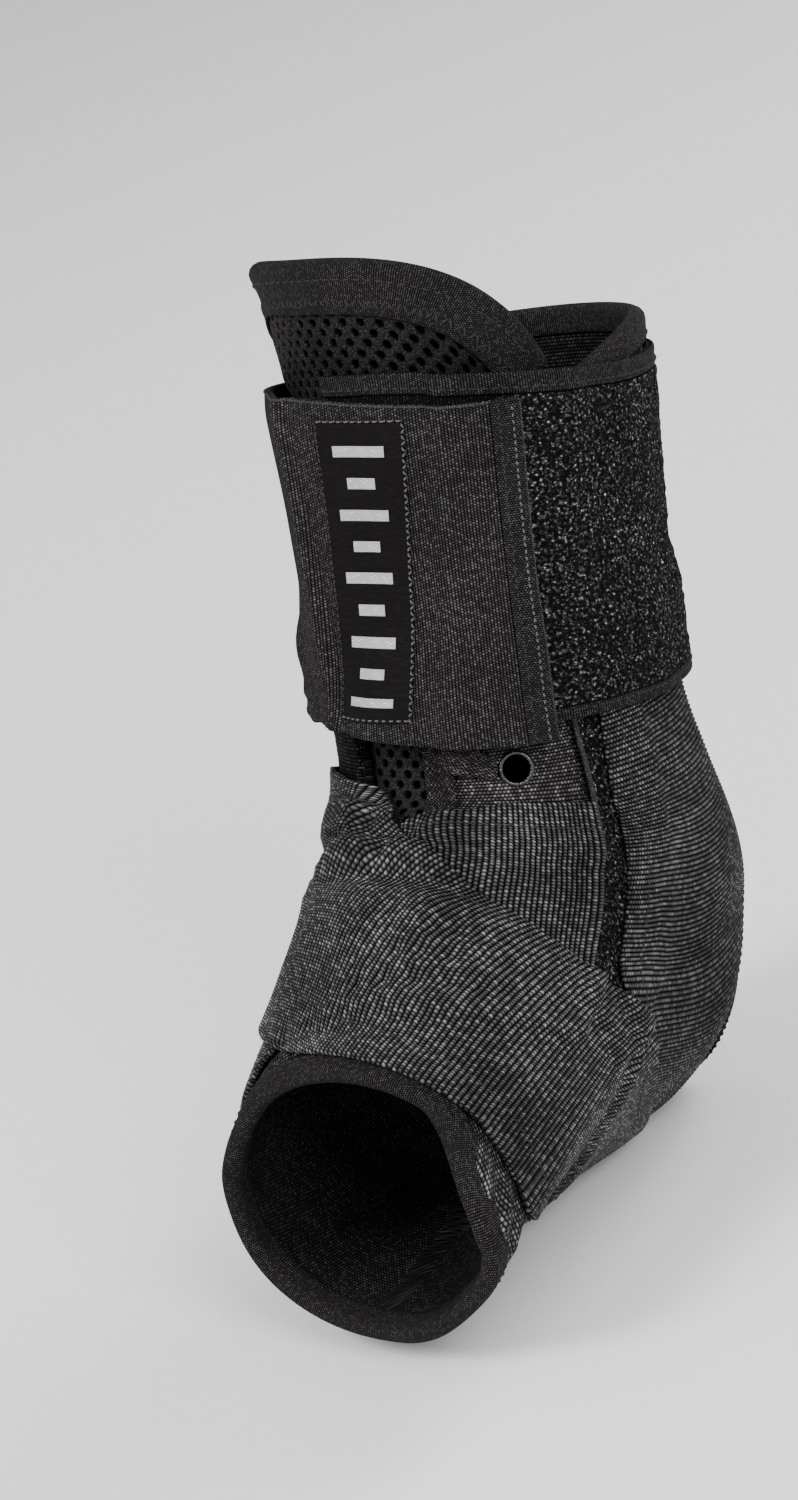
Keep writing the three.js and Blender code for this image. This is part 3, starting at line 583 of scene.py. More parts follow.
# A darker copy of the facing weave for the outer facing: painted shade of the shadow that falls on it.
SHADED_FACING = Finish("shaded facing weave", "facing_weave", 0.0005, 0.06, along=0.95, across=0.85,
                       roughness=0.8, bump=0.6, warmth=0.05, speckle=0.6)
BRAID = Finish("lace braid", "lace_braid", 0.001, 0.2, along=0.75, across=0.55, chevron=1.0,
               chevron_width=2.25, roughness=0.75, bump=0.7, warmth=0.05, speckle=0.5)
SATIN = Finish("label satin", "label_satin", 0.004, 0.016, along=0.3, across=1.6,
               roughness=0.5, bump=0.15, warmth=0.08, speckle=0.5)
LABEL_YARN = Finish("label yarn", "label_satin", 0.3, 0.9, along=0.4, across=1.2,
                    roughness=0.55, bump=0.3, speckle=0.5)
THREAD = Finish("sewing thread", "binding_tape", 0.02, 0.16, Weave.PLAIN, roughness=0.6)
BRIGHT_THREAD = Finish("bright thread", "label_satin", 0.06, 0.5, Weave.PLAIN, roughness=0.55)
PIPING = Finish("piping", "loop_pile", 0.012, 0.26, along=0.5, across=0.5, roughness=0.6, bump=0.4)
ENAMEL = Finish("black enamel", "eyelet_metal", 0.002, 0.004, Weave.PLAIN, roughness=0.16, gloss=0.6,
                coat=0.1)
FLOOR = Finish("studio floor", "", 0.86, 0.9, Weave.PLAIN, roughness=0.7, gloss=0.2)


@dataclass
class Graph:
    """Adds nodes to a material's or a node group's tree and links them."""

    tree: bpy.types.NodeTree
    inlet: bpy.types.Node | None = None
    outlet: bpy.types.Node | None = None

    def node(self, kind: str, inputs: dict | None = None, **settings: object) -> bpy.types.Node:
        """A node with its settings, and its inputs set to values or linked from sockets.

        Args:
            kind: the node's type.
            inputs: values or sockets by the input's name.
            settings: the node's own settings.

        Returns:
            The new node.
        """
        node = self.tree.nodes.new(kind)
        for name, value in settings.items():
            setattr(node, name, value)
        for name, value in (inputs or {}).items():
            self.feed(node.inputs[name], value)
        return node

    def feed(self, target: Socket, value: object) -> None:
        """Links a socket to an input, or sets the input's value.

        Args:
            target: the input to set.
            value: a socket or a plain value.
        """
        if isinstance(value, bpy.types.NodeSocket):
            self.tree.links.new(value, target)
        else:
            target.default_value = value

    def math(self, operation: str, *values: object) -> Socket:
        """The result of one arithmetic operation on sockets or numbers.

        Args:
            operation: the operation's name.
            values: sockets or numbers.

        Returns:
            The result's socket.
        """
        node = self.node("ShaderNodeMath", operation=operation)
        for target, value in zip(node.inputs, values):
            self.feed(target, value)
        return node.outputs[0]

    def bell(self, value: Socket, power: float) -> Socket:
        """Half a sine wave over each whole number, raised to a power."""
        part = self.math("FRACT", value)
        wave = self.math("SINE", self.math("MULTIPLY", part, math.pi))
        return self.math("POWER", self.math("MAXIMUM", wave, 0.0), power)


def new_group(name: str, inputs: dict[str, float | None], outputs: tuple[str, ...]) -> Graph:
    """An empty shader node group.

    Args:
        name: the group's name.
        inputs: each input's name and first value, or None for a vector.
        outputs: names of the outputs, all plain numbers.

    Returns:
        The graph of the group, with its input and output nodes as inlet and outlet.
    """
    tree = bpy.data.node_groups.new(name, "ShaderNodeTree")
    for label, value in inputs.items():
        kind = "NodeSocketVector" if value is None else "NodeSocketFloat"
        made = tree.interface.new_socket(label, in_out="INPUT", socket_type=kind)
        if value is not None:
            made.default_value = value
    for label in outputs:
        tree.interface.new_socket(label, in_out="OUTPUT", socket_type="NodeSocketFloat")
    graph = Graph(tree)
    graph.inlet = graph.node("NodeGroupInput")
    graph.outlet = graph.node("NodeGroupOutput")
    return graph


def yarn_cell_group() -> bpy.types.NodeTree:
    """Yarn cells: rows of beads, half a sine high across each row and along it.

    Chevron slants the rows to and fro across the cloth, and Stagger shifts each row by a share of a bead.

    Returns:
        The group's tree.
    """
    graph = new_group("Yarn cells", {"Cloth": None, "Along": 1.0, "Across": 1.0, "Stagger": 0.5,
                                     "Chevron": 0.0, "Chevron Width": 4.0}, ("Height", "Tone"))
    inlet = graph.inlet.outputs
    split = graph.node("ShaderNodeSeparateXYZ", {"Vector": inlet["Cloth"]}).outputs
    slant = graph.math("MULTIPLY", graph.math("PINGPONG", split["X"], inlet["Chevron Width"]),
                       inlet["Chevron"])
    rows = graph.math("DIVIDE", graph.math("ADD", split["Y"], slant), inlet["Along"])
    row = graph.math("FLOOR", rows)
    beads = graph.math("ADD", graph.math("DIVIDE", split["X"], inlet["Across"]),
                       graph.math("MULTIPLY", row, inlet["Stagger"]))
    bead_shape = graph.math("MULTIPLY_ADD", graph.bell(beads, 0.8), 0.72, 0.28)
    height = graph.math("MULTIPLY", graph.bell(rows, 0.75), bead_shape)
    cell = graph.node("ShaderNodeCombineXYZ", {"X": row, "Y": graph.math("FLOOR", beads)})
    noise = graph.node("ShaderNodeTexWhiteNoise", {"Vector": cell.outputs[0]},
                       noise_dimensions="3D")
    graph.feed(graph.outlet.inputs["Height"], height)
    graph.feed(graph.outlet.inputs["Tone"], noise.outputs["Value"])
    return graph.tree


def mesh_hole_group() -> bpy.types.NodeTree:
    """Spacer mesh: staggered round holes. Height falls inside each hole, and strands cross between.

    Returns:
        The group's tree.
    """
    graph = new_group("Mesh holes", {"Cloth": None, "Along": 2.4, "Across": 4.3}, ("Height", "Tone"))
    inlet = graph.inlet.outputs
    split = graph.node("ShaderNodeSeparateXYZ", {"Vector": inlet["Cloth"]}).outputs
    rows = graph.math("DIVIDE", split["Y"], inlet["Along"])
    row = graph.math("ROUND", rows)
    columns = graph.math("ADD", graph.math("DIVIDE", split["X"], inlet["Across"]),
                         graph.math("MULTIPLY", row, 0.5))
    across = graph.math("MULTIPLY", graph.math("SUBTRACT", columns, graph.math("ROUND", columns)),
                        inlet["Across"])
    along = graph.math("MULTIPLY", graph.math("SUBTRACT", rows, row), inlet["Along"])
    distance = graph.math("SQRT", graph.math("ADD", graph.math("MULTIPLY", across, across),
                                             graph.math("MULTIPLY", along, along)))
    rim = graph.node("ShaderNodeMapRange", {"Value": distance, "From Min": 0.62, "From Max": 1.12},
                     interpolation_type="SMOOTHSTEP")
    fibres = graph.node("ShaderNodeTexNoise", {"Vector": inlet["Cloth"], "Scale": 2.2, "Detail": 3.0})
    height = graph.math("MULTIPLY", rim.outputs[0],
                        graph.math("MULTIPLY_ADD", fibres.outputs[0], 0.9, 0.15))
    graph.feed(graph.outlet.inputs["Height"], height)
    graph.feed(graph.outlet.inputs["Tone"], fibres.outputs[0])
    return graph.tree


def loop_pile_group() -> bpy.types.NodeTree:
    """Loop pile: small tangled loops, the sharp crests of two noises.

    Returns:
        The group's tree.
    """
    graph = new_group("Loop pile", {"Cloth": None, "Along": 0.85}, ("Height", "Tone"))
    inlet = graph.inlet.outputs
    scale = graph.math("DIVIDE", 1.0, inlet["Along"])
    coarse = graph.node("ShaderNodeTexNoise", {"Vector": inlet["Cloth"], "Scale": scale,
                                               "Detail": 4.0, "Roughness": 0.7})
    loops = graph.node("ShaderNodeTexVoronoi", {"Vector": inlet["Cloth"],
                                                "Scale": graph.math("MULTIPLY", scale, 1.5)})
    crest = graph.node("ShaderNodeMapRange", {"Value": coarse.outputs[0], "From Min": 0.4,
                                              "From Max": 0.72})
    loop = graph.math("SUBTRACT", 1.0, loops.outputs["Distance"])
    graph.feed(graph.outlet.inputs["Height"], graph.math("MULTIPLY", crest.outputs[0], loop))
    tone = graph.node("ShaderNodeSeparateXYZ", {"Vector": loops.outputs["Color"]})
    graph.feed(graph.outlet.inputs["Tone"], tone.outputs[0])
    return graph.tree


def fibre_tone_group() -> bpy.types.NodeTree:
    """Yarn brightness: dark in a weave's low parts, the yarn's own colour there plus painted shade, with
    bright specks on some cells and a slow mottle of uneven tone and painted crease shade over the cloth.

    Returns:
        The group's tree.
    """
    graph = new_group("Fibre tone", {"Place": None, "Height": 0.5, "Tone": 0.5, "Speckle": 0.5,
                                     "Tone And Shade Mottle": 2.0}, ("Share",))
    inlet = graph.inlet.outputs
    # Slow noise over the cloth: partly uneven tone, partly painted shade standing in for the soft shadows of
    # shallow creases.
    slow = graph.node("ShaderNodeTexNoise", {"Vector": inlet["Place"], "Scale": 38.0, "Detail": 2.0})
    swing = graph.math("SUBTRACT", slow.outputs[0], 0.5)
    shade = graph.math("MULTIPLY_ADD", swing, inlet["Tone And Shade Mottle"], 1.0)
    spread = graph.math("MULTIPLY_ADD", graph.math("POWER", inlet["Tone"], 2.5), inlet["Speckle"], 0.16)
    # Low grooves and holes get the dark colour: the yarn's own darker colour there, with painted shade on
    # top.
    bright = graph.math("MULTIPLY", graph.math("POWER", inlet["Height"], 2.4), spread)
    graph.feed(graph.outlet.inputs["Share"], graph.math("MULTIPLY", bright, shade))
    return graph.tree


@dataclass
class Dyer:
    """Makes one material for each finish."""

    made: dict[str, bpy.types.Material] = field(default_factory=dict)
    groups: dict[Weave, bpy.types.NodeTree] = field(default_factory=dict)
    tone: bpy.types.NodeTree | None = None

    def prepare(self) -> None:
        """Builds the shared node groups."""
        self.groups = {Weave.CELLS: yarn_cell_group(), Weave.HOLES: mesh_hole_group(),
                       Weave.PILE: loop_pile_group()}
        self.tone = fibre_tone_group()

    def material(self, finish: Finish) -> bpy.types.Material:
        """The material of a finish, made when it is first asked for."""
        if finish.name not in self.made:
            self.made[finish.name] = self.make(finish)
        return self.made[finish.name]

    def make(self, finish: Finish) -> bpy.types.Material:
        """A Principled material whose colour, roughness and bump follow the finish's weave.

        Args:
            finish: the finish to make.

        Returns:
            The new material.
        """
        material = bpy.data.materials.new(finish.name)
        material.use_nodes = True
        graph = Graph(material.node_tree)
        shader = material.node_tree.nodes["Principled BSDF"]
        place = graph.node("ShaderNodeTexCoord").outputs["Object"]
        height, tone = self.relief(graph, finish, place)
        share = graph.node("ShaderNodeGroup", node_tree=self.tone)
        for name, value in {"Place": place, "Height": height, "Tone": tone,
                            "Speckle": finish.speckle, "Tone And Shade Mottle": finish.tone_and_shade_mottle}.items():
            graph.feed(share.inputs[name], value)
        colour = graph.node("ShaderNodeMix", data_type="RGBA")
        graph.feed(colour.inputs[0], share.outputs["Share"])
        graph.feed(colour.inputs[6], finish.colour(finish.dark))
        graph.feed(colour.inputs[7], finish.colour(finish.light))
        graph.feed(shader.inputs["Base Color"], colour.outputs[2])
        rough = graph.math("SUBTRACT", finish.roughness + 0.06,
                           graph.math("MULTIPLY", share.outputs["Share"], 0.2))
        graph.feed(shader.inputs["Roughness"], rough)
        shader.inputs["Coat Weight"].default_value = finish.coat
        shader.inputs["Specular IOR Level"].default_value = finish.gloss
        bump = graph.node("ShaderNodeBump", {"Height": height, "Strength": finish.bump,
                                             "Distance": 0.4 * METRES})
        graph.feed(shader.inputs["Normal"], bump.outputs[0])
        return material

    def relief(self, graph: Graph, finish: Finish, place: Socket) -> tuple[Socket, Socket]:
        """Height and tone of a finish's weave: from its group on the cloth map, or a fine grain.

        Args:
            graph: the graph to add nodes to.
            finish: the finish to weave.
            place: the piece's own coordinates.

        Returns:
            The height's and the tone's sockets.
        """
        if finish.weave is Weave.PLAIN:
            grain = graph.node("ShaderNodeTexNoise", {"Vector": place, "Scale": 2600.0, "Detail": 2.0})
            return grain.outputs[0], grain.outputs[0]
        group = graph.node("ShaderNodeGroup", node_tree=self.groups[finish.weave])
        values = {"Cloth": graph.node("ShaderNodeUVMap", uv_map=CLOTH_MAP).outputs[0],
                  "Along": finish.along, "Across": finish.across, "Stagger": finish.stagger,
                  "Chevron": finish.chevron, "Chevron Width": finish.chevron_width}
        for name, value in values.items():
            if name in group.inputs:
                graph.feed(group.inputs[name], value)
        return group.outputs["Height"], group.outputs["Tone"]


@dataclass(frozen=True)
class Hole:
    """A round hole in a sheet: its middle on the form, and its radius in millimetres."""

    middle: Array
    radius: float

    def spares(self, points: Array) -> Array:
        """True for the points that lie outside the hole."""
        return np.linalg.norm(points - self.middle, axis=-1) > self.radius


@dataclass
class Patch:
    """A grid of places with the heights of its two skins, and its cloth coordinates in millimetres."""

    rise: Array
    turn: Array
    inner: Array
    outer: Array
    cloth: Array


def cloth_map(form: Form, rise: Array, turn: Array) -> Array:
    """Cloth coordinates of a grid: distance from its middle column, and distance along that column.

    Args:
        form: the form that it follows.
        rise: rise of each place.
        turn: turn of each place, in degrees.

    Returns:
        The coordinates, with across and along as the last axis.
    """
    points = form.point(rise, turn)
    across = path_lengths(points, 1)
    middle = rise.shape[1] // 2
    along = path_lengths(points[:, middle])
    return np.stack([across - across[:, middle:middle + 1],
                     np.broadcast_to(along[:, None], rise.shape)], axis=-1)


def edge_share(cloth: Array, wall: float) -> Array:
    """Share of full thickness near a sheet's edges: a quarter round, never under a fifth.

    Args:
        cloth: cloth coordinates, in millimetres.
        wall: full thickness, in millimetres.

    Returns:
        The share at each place.
    """
    across, along = cloth[..., 0], cloth[..., 1]
    sides = np.minimum(across - across[:, :1], across[:, -1:] - across)
    away = np.minimum(sides, np.minimum(along, along[-1:] - along))
    share = np.clip(2.0 * away / wall, 0.0, 1.0)
    return np.maximum(0.2, np.sqrt(1.0 - (1.0 - share) ** 2))


@dataclass
class Workshop:
    """Turns grids and profiles into finished pieces that ride on the body."""

    form: Form
    walls: Walls
    outline: Outline
    layers: Layers
    dyer: Dyer
    cord_sides: int = 12

    def piece(self, name: str, points: Array, faces: Array, cloth: Array, finish: Finish,
              nodes: tuple[str, ...] = (), caps: tuple[Array, ...] = (),
              lining: Finish | None = None) -> bpy.types.Object:
        """Makes an object from points in millimetres, quads, extra polygons and cloth coordinates.

        Args:
            name: the piece's name.
            points: vertices, one row each.
            faces: quads as rows of vertex numbers.
            cloth: cloth coordinates, one row for each vertex.
            finish: the finish that it wears.
            nodes: the CAD nodes that it stands for.
            caps: more polygons, each a row of vertex numbers.
            lining: another finish, for the second skin of a shell.

        Returns:
            The finished object.
        """
        mesh = bpy.data.meshes.new(name)
        mesh.from_pydata((points * METRES).tolist(), [], faces.tolist() + [list(cap) for cap in caps])
        corner = np.empty(len(mesh.loops), dtype=np.int32)
        mesh.loops.foreach_get("vertex_index", corner)
        layer = mesh.uv_layers.new(name=CLOTH_MAP)
        layer.data.foreach_set("uv", cloth[corner].astype(np.float32).ravel())
        mesh.polygons.foreach_set("use_smooth", np.ones(len(mesh.polygons), dtype=bool))
        mesh.materials.append(self.dyer.material(finish))
        if lining:
            mesh.materials.append(self.dyer.material(lining))
            second_skin = cloth_side(len(points), faces)
            mesh.polygons.foreach_set("material_index", second_skin.astype(np.int32))
        mesh.validate()
        mesh.update()
        drop_loose(mesh)
        made = placed(name, mesh)
        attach(made, BODY)
        if nodes:
            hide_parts(*nodes)
        LOG.info("%s: %d faces", name, len(mesh.polygons))
        return made

    def shell(self, name: str, patches: list[Patch], finish: Finish, nodes: tuple[str, ...] = (),
              lining: Finish | None = None, hole: Hole | None = None) -> bpy.types.Object:
        """A closed shell: an outer skin, an inner skin, and a rim on every free edge of the grids.

        Places that two grids share become one. An edge is free where no other quad runs along it the
        other way.

        Args:
            name: the piece's name.
            patches: the grids that it is made of.
            finish: the finish that it wears.
            nodes: the CAD nodes that the piece stands for.
            lining: another finish, for the second skin.
            hole: a round hole to leave out, or None.

        Returns:
            The finished object.
        """
        quads, start = [], 0
        for patch in patches:
            index = start + np.arange(patch.rise.size).reshape(patch.rise.shape)
            quads.append(joined(index[:-1, :-1], index[:-1, 1:], index[1:, 1:], index[1:, :-1]))
            start += patch.rise.size
        keys = np.concatenate([np.stack([patch.rise.ravel(), signed_turn(patch.turn).ravel()], axis=-1)
                               for patch in patches])
        places, first, link = np.unique(np.round(keys, PLACE_DIGITS) + 0.0, axis=0, return_index=True,
                                        return_inverse=True)
        faces = link.ravel()[np.concatenate(quads)]
        rise, turn = places.T
        if hole:
            faces = faces[hole.spares(self.form.point(rise, turn)[faces].mean(axis=1))]
        heights = ([patch.outer.ravel() for patch in patches], [patch.inner.ravel() for patch in patches])
        skins = [self.form.lifted(rise, turn, np.concatenate(height)[first]) for height in heights]
        count = len(first)
        edges = np.concatenate([joined(faces[:, side], faces[:, (side + 1) % 4]) for side in range(4)])
        codes = edges[:, 0] * count + edges[:, 1]
        free = edges[~np.isin(codes, edges[:, 1] * count + edges[:, 0])]
        rim = joined(free[:, 1], free[:, 0], free[:, 0] + count, free[:, 1] + count)
        every = np.concatenate([faces, faces[:, ::-1] + count, rim])
        points = np.concatenate(skins)
        cloth = np.concatenate([patch.cloth.reshape(-1, 2) for patch in patches])[first]
        return self.piece(name, points, outward(points, every), np.concatenate([cloth, cloth]),
                          finish, nodes, (), lining)

    def sheet(self, name: str, rise: Array, turn: Array, base: Array, wall: float, finish: Finish,
              nodes: tuple[str, ...] = (), relief: Array | float = 0.0,
              hole: Hole | None = None) -> bpy.types.Object:
        """A sheet with rounded edges on a grid of places, its inner skin at a base height.

        Args:
            name: the piece's name.
            rise: rise of each place.
            turn: turn of each place, in degrees.
            base: height of the inner skin over the form.
            wall: full thickness, in millimetres.
            finish: the finish that it wears.
            nodes: the CAD nodes that the piece stands for.
            relief: extra height of the outer skin.
            hole: a round hole to leave out, or None.

        Returns:
            The finished object.
        """
        cloth = cloth_map(self.form, rise, turn)
        half = wall / 2.0 * edge_share(cloth, wall)
        patch = Patch(rise, turn, base + wall / 2.0 - half, base + wall / 2.0 + half + relief, cloth)
        return self.shell(name, [patch], finish, nodes, None, hole)

    def cord(self, name: str, rise: Array, turn: Array, height: Array, radius: float,
             finish: Finish) -> bpy.types.Object:
        """A round edging sewn along a line of places: a circle carried along it at a height.

        Args:
            name: the piece's name.
            rise: rise of each place.
            turn: turn of each place, in degrees.
            height: height over the form at each place, in millimetres.
            radius: the cord's radius, in millimetres.
            finish: the finish that it wears.

        Returns:
            The finished object.
        """
        centre = self.form.lifted(rise, turn, height)
        normal = self.form.normal(rise, turn)
        beside = np.cross(unit(np.gradient(centre, axis=0)), normal)
        angle = full_circle(self.cord_sides)
        spoke = (np.cos(angle)[None, :, None] * normal[:, None]
                 + np.sin(angle)[None, :, None] * beside[:, None])
        cloth = np.stack(np.meshgrid(angle * radius, path_lengths(centre), indexing="xy"), -1)
        return self.tube(name, centre[:, None] + radius * spoke, finish, False, cloth)

    def tube(self, name: str, rings: Array, finish: Finish, closed: bool, cloth: Array,
             nodes: tuple[str, ...] = ()) -> bpy.types.Object:
        """A profile carried along a path: rings of points joined by quads, capped unless closed.

        Args:
            name: the piece's name.
            rings: rings of points along the path, in millimetres.
            finish: the finish that it wears.
            closed: whether the last ring joins the first.
            cloth: cloth coordinates, in millimetres.
            nodes: the CAD nodes that the piece stands for.

        Returns:
            The finished object.
        """
        index = np.arange(rings[..., 0].size).reshape(rings.shape[:2])
        here, ahead = (index, np.roll(index, -1, 0)) if closed else (index[:-1], index[1:])
        quads = joined(here, np.roll(here, -1, 1), np.roll(ahead, -1, 1), ahead)
        points = rings.reshape(-1, 3)
        turned = outward(points, quads)
        caps = ()
        if not closed:
            ends = (index[0][::-1], index[-1])
            caps = ends if np.array_equal(turned, quads) else tuple(end[::-1] for end in ends)
        return self.piece(name, points, turned, cloth.reshape(-1, 2), finish, nodes, caps)


def placed(name: str, data: bpy.types.ID) -> bpy.types.Object:
    """A new object that shows some data, at the origin of the scene."""
    made = bpy.data.objects.new(name, data)
    bpy.context.scene.collection.objects.link(made)
    return made


def drop_loose(mesh: bpy.types.Mesh) -> None:
    """Deletes the vertices that no face uses.

    Args:
        mesh: the mesh to clean.
    """
    used = np.zeros(len(mesh.vertices), dtype=bool)
    corner = np.empty(len(mesh.loops), dtype=np.int32)
    mesh.loops.foreach_get("vertex_index", corner)
    used[corner] = True
    if used.all():
        return
    work = bmesh.new()
    work.from_mesh(mesh)
    bmesh.ops.delete(work, geom=[vertex for vertex in work.verts if not vertex.link_faces],
                     context="VERTS")
    work.to_mesh(mesh)
    work.free()


def cloth_side(count: int, quads: Array) -> Array:
    """True for the quads of a shell's second skin and its rim, which use the later half of its points."""
    return (quads >= count // 2).any(axis=1)


def outward(points: Array, quads: Array) -> Array:
    """Quads turned so that the volume they enclose is positive.

    Args:
        points: points in millimetres.
        quads: rows of four vertex numbers.

    Returns:
        The quads, all turned or all as they were.
    """
    corner = points[quads]
    first = np.cross(corner[:, 1], corner[:, 2])
    second = np.cross(corner[:, 2], corner[:, 3])
    volume = (corner[:, 0] * (first + second)).sum()
    return quads if volume > 0.0 else quads[:, ::-1]


@dataclass(frozen=True)
class Edge:
    """A free edge of a sheet: its places, the way out of the sheet, and the heights of its skins."""

    rise: Array
    turn: Array
    outward: Array
    inner: Array
    outer: Array
    closed: bool = False
    lean: Callable[[Array, Array], Array] | None = None


def sheet_edge(form: Form, rise: Array, turn: Array, inside: tuple[Array, Array], inner: Array,
               outer: Array, closed: bool = False) -> Edge:
    """An edge, with its way out: square to the edge and to the form, and away from a place inside.

    Args:
        form: the form that it follows.
        rise: rise of each place.
        turn: turn of each place, in degrees.
        inside: a place inside the sheet for each place of the edge.
        inner: height of the inner skin.
        outer: height of the outer skin.
        closed: whether the line runs back to its start.

    Returns:
        The edge.
    """
    points = form.point(rise, turn)
    tangent = np.roll(points, -1, 0) - np.roll(points, 1, 0) if closed else np.gradient(points, axis=0)
    way = unit(np.cross(tangent, form.normal(rise, turn)))
    towards = points - form.point(*inside)
    way *= np.sign((way * towards).sum(-1, keepdims=True))
    return Edge(rise, turn, way, inner, outer, closed)


@dataclass
class Binder:
    """Folds tapes over edges and sews stitches along lines."""

    shop: Workshop
    nose_points: int = 8
    leg_points: int = 5
    thread: float = 0.26
    thread_share: float = 0.78
    thread_rings: int = 5
    thread_sides: int = 5
    thread_bow: float = 1.5
    thread_dip: float = 0.9
    thread_end: float = 0.35

    def fold(self, name: str, edge: Edge, band: float, finish: Finish,
             nodes: tuple[str, ...]) -> bpy.types.Object:
        """A tape folded over an edge: two legs a band deep, joined by a half round, with its thickness.

        The profile is a loop of depths into the sheet and lifts from its middle. Past the edge, a depth
        under nothing is taken straight outward.

        Args:
            name: the piece's name.
            edge: the edge to fold the tape over.
            band: depth of a leg, in millimetres.
            finish: the finish that it wears.
            nodes: the CAD nodes that the piece stands for.

        Returns:
            The finished object.
        """
        walls = self.shop.walls
        half = float(np.mean(edge.outer - edge.inner)) / 2.0 + walls.seat_gap
        depths, lifts = self.profile(half, band, walls.tape)
        into = np.maximum(depths, 0.0)
        beyond = np.maximum(-depths, 0.0)
        grid_rise = np.repeat(edge.rise[:, None], len(depths), 1)
        grid_turn = np.repeat(edge.turn[:, None], len(depths), 1)
        direction = -edge.outward[:, None, :] * into[None, :, None]
        rise, turn = self.shop.form.step(grid_rise, grid_turn, direction)
        middle = ((edge.inner + edge.outer) / 2.0)[:, None]
        if edge.lean:
            middle = middle + edge.lean(rise, turn)
        rings = self.shop.form.lifted(rise, turn, middle + lifts[None, :])
        rings = rings + edge.outward[:, None, :] * beyond[None, :, None]
        along = path_lengths(self.shop.form.point(edge.rise, edge.turn))
        around = np.concatenate([[0.0], np.cumsum(np.hypot(np.diff(depths), np.diff(lifts)))])
        cloth = np.stack(np.meshgrid(around, along, indexing="xy"), axis=-1)
        return self.shop.tube(name, rings, finish, edge.closed, cloth, nodes)

    def profile(self, half: float, band: float, wall: float) -> tuple[Array, Array]:
        """Loop of depths and lifts of a folded tape: its outer face, its round ends and its inner face.

        Args:
            half: half of the sheet's thickness with the tape's seat.
            band: depth of a leg, in millimetres.
            wall: the tape's thickness.

        Returns:
            The depths and the lifts.
        """
        outer_depth, outer_lift = self.leg_and_nose(half + wall, band)
        inner_depth, inner_lift = self.leg_and_nose(half, band)
        end = band + wall / 3.0
        middle = half + wall / 2.0
        return (np.concatenate([outer_depth, [end], inner_depth[::-1], [end]]),
                np.concatenate([outer_lift, [-middle], inner_lift[::-1], [middle]]))

    def leg_and_nose(self, radius: float, band: float) -> tuple[Array, Array]:
        """Depths and lifts of one face of a fold: a straight leg, a half circle and a leg back.

        Args:
            radius: distance of the face from the sheet's middle.
            band: depth of a leg, in millimetres.

        Returns:
            The depths and the lifts.
        """
        legs = np.linspace(band, 0.0, self.leg_points)
        angle = np.linspace(0.0, math.pi, self.nose_points)[1:-1]
        straight = np.full(len(legs), radius)
        return (np.concatenate([legs, -radius * np.sin(angle), legs[::-1]]),
                np.concatenate([straight, radius * np.cos(angle), -straight]))

    def stitches(self, name: str, rise: Array, turn: Array, height: Array, finish: Finish,
                 pitch: float = 2.4, swing: float = 0.0) -> bpy.types.Object:
        """Stitches along a line of places: short bowed threads, whose ends dip into the cloth.

        Each thread runs straight between two points of the line, which swing to its two sides in turn on
        a zigzag, bows out by the sine of its length, and is round with a thin end.

        Args:
            name: the piece's name.
            rise: rise of each place.
            turn: turn of each place, in degrees.
            height: height over the form at each place, in millimetres.
            finish: the finish that it wears.
            pitch: length of one stitch.
            swing: how far a zigzag swings to a side.

        Returns:
            The finished object.
        """
        form = self.shop.form
        points = form.lifted(rise, turn, height)
        normals = form.normal(rise, turn)
        run = path_lengths(points)
        count = max(2, int(run[-1] / pitch))
        marks = np.linspace(0.0, run[-1], count + 1)
        at = np.stack([np.interp(marks, run, points[:, axis]) for axis in range(3)], -1)
        up = np.stack([np.interp(marks, run, normals[:, axis]) for axis in range(3)], -1)
        side = np.cross(unit(np.gradient(at, axis=0)), up)
        sway = swing * np.where(np.arange(count + 1) % 2 == 0, 1.0, -1.0)
        at = at + side * sway[:, None]
        begin, way, lift = at[:-1], at[1:] - at[:-1], up[:-1]
        beside = unit(np.cross(way, lift))
        share = np.linspace((1.0 - self.thread_share) / 2.0, (1.0 + self.thread_share) / 2.0,
                            self.thread_rings)
        bow = np.sin(np.linspace(0.0, math.pi, self.thread_rings))
        angle = full_circle(self.thread_sides)
        centre = begin[:, None] + way[:, None] * share[None, :, None]
        rise_of_thread = (bow * self.thread_bow - self.thread_dip) * self.thread
        centre = centre + lift[:, None] * rise_of_thread[None, :, None]
        radius = self.thread * mix(self.thread_end, 1.0, bow)
        round_part = (np.cos(angle)[None, None, :, None] * lift[:, None, None]
                      + np.sin(angle)[None, None, :, None] * beside[:, None, None])
        rings = centre[:, :, None] + round_part * radius[None, :, None, None]
        index = np.arange(rings[..., 0].size).reshape(rings.shape[:3])
        ahead = np.roll(index, -1, 2)
        quads = joined(index[:, :-1], ahead[:, :-1], ahead[:, 1:], index[:, 1:])
        flat = rings.reshape(-1, 3)
        turned = outward(flat, quads)
        ends = np.concatenate([index[:, 0, ::-1], index[:, -1]])
        if not np.array_equal(turned, quads):
            ends = ends[:, ::-1]
        return self.shop.piece(name, flat, turned, np.zeros((len(flat), 2)), finish, (), tuple(ends))


@dataclass
class Fold:
    """A soft ridge of a cloth, from one place to another, with its width and lift in millimetres."""

    start: tuple[float, float]
    end: tuple[float, float]
    width: float
    lift: float

    def height(self, form: Form, points: Array) -> Array:
        """Lift at points: a bell of the distance to the ridge's line, thinned towards its two ends.

        Args:
            form: the form that it follows.
            points: points in millimetres.

        Returns:
            The lift at each point.
        """
        first = form.point(*self.start)
        way = form.point(*self.end) - first
        share = np.clip(((points - first) @ way) / (way @ way), 0.0, 1.0)
        away = np.linalg.norm(points - first - share[..., None] * way, axis=-1)
        bell = np.exp(-(away / self.width) ** 2)
        return self.lift * bell * (0.45 + 0.55 * np.sin(math.pi * share))


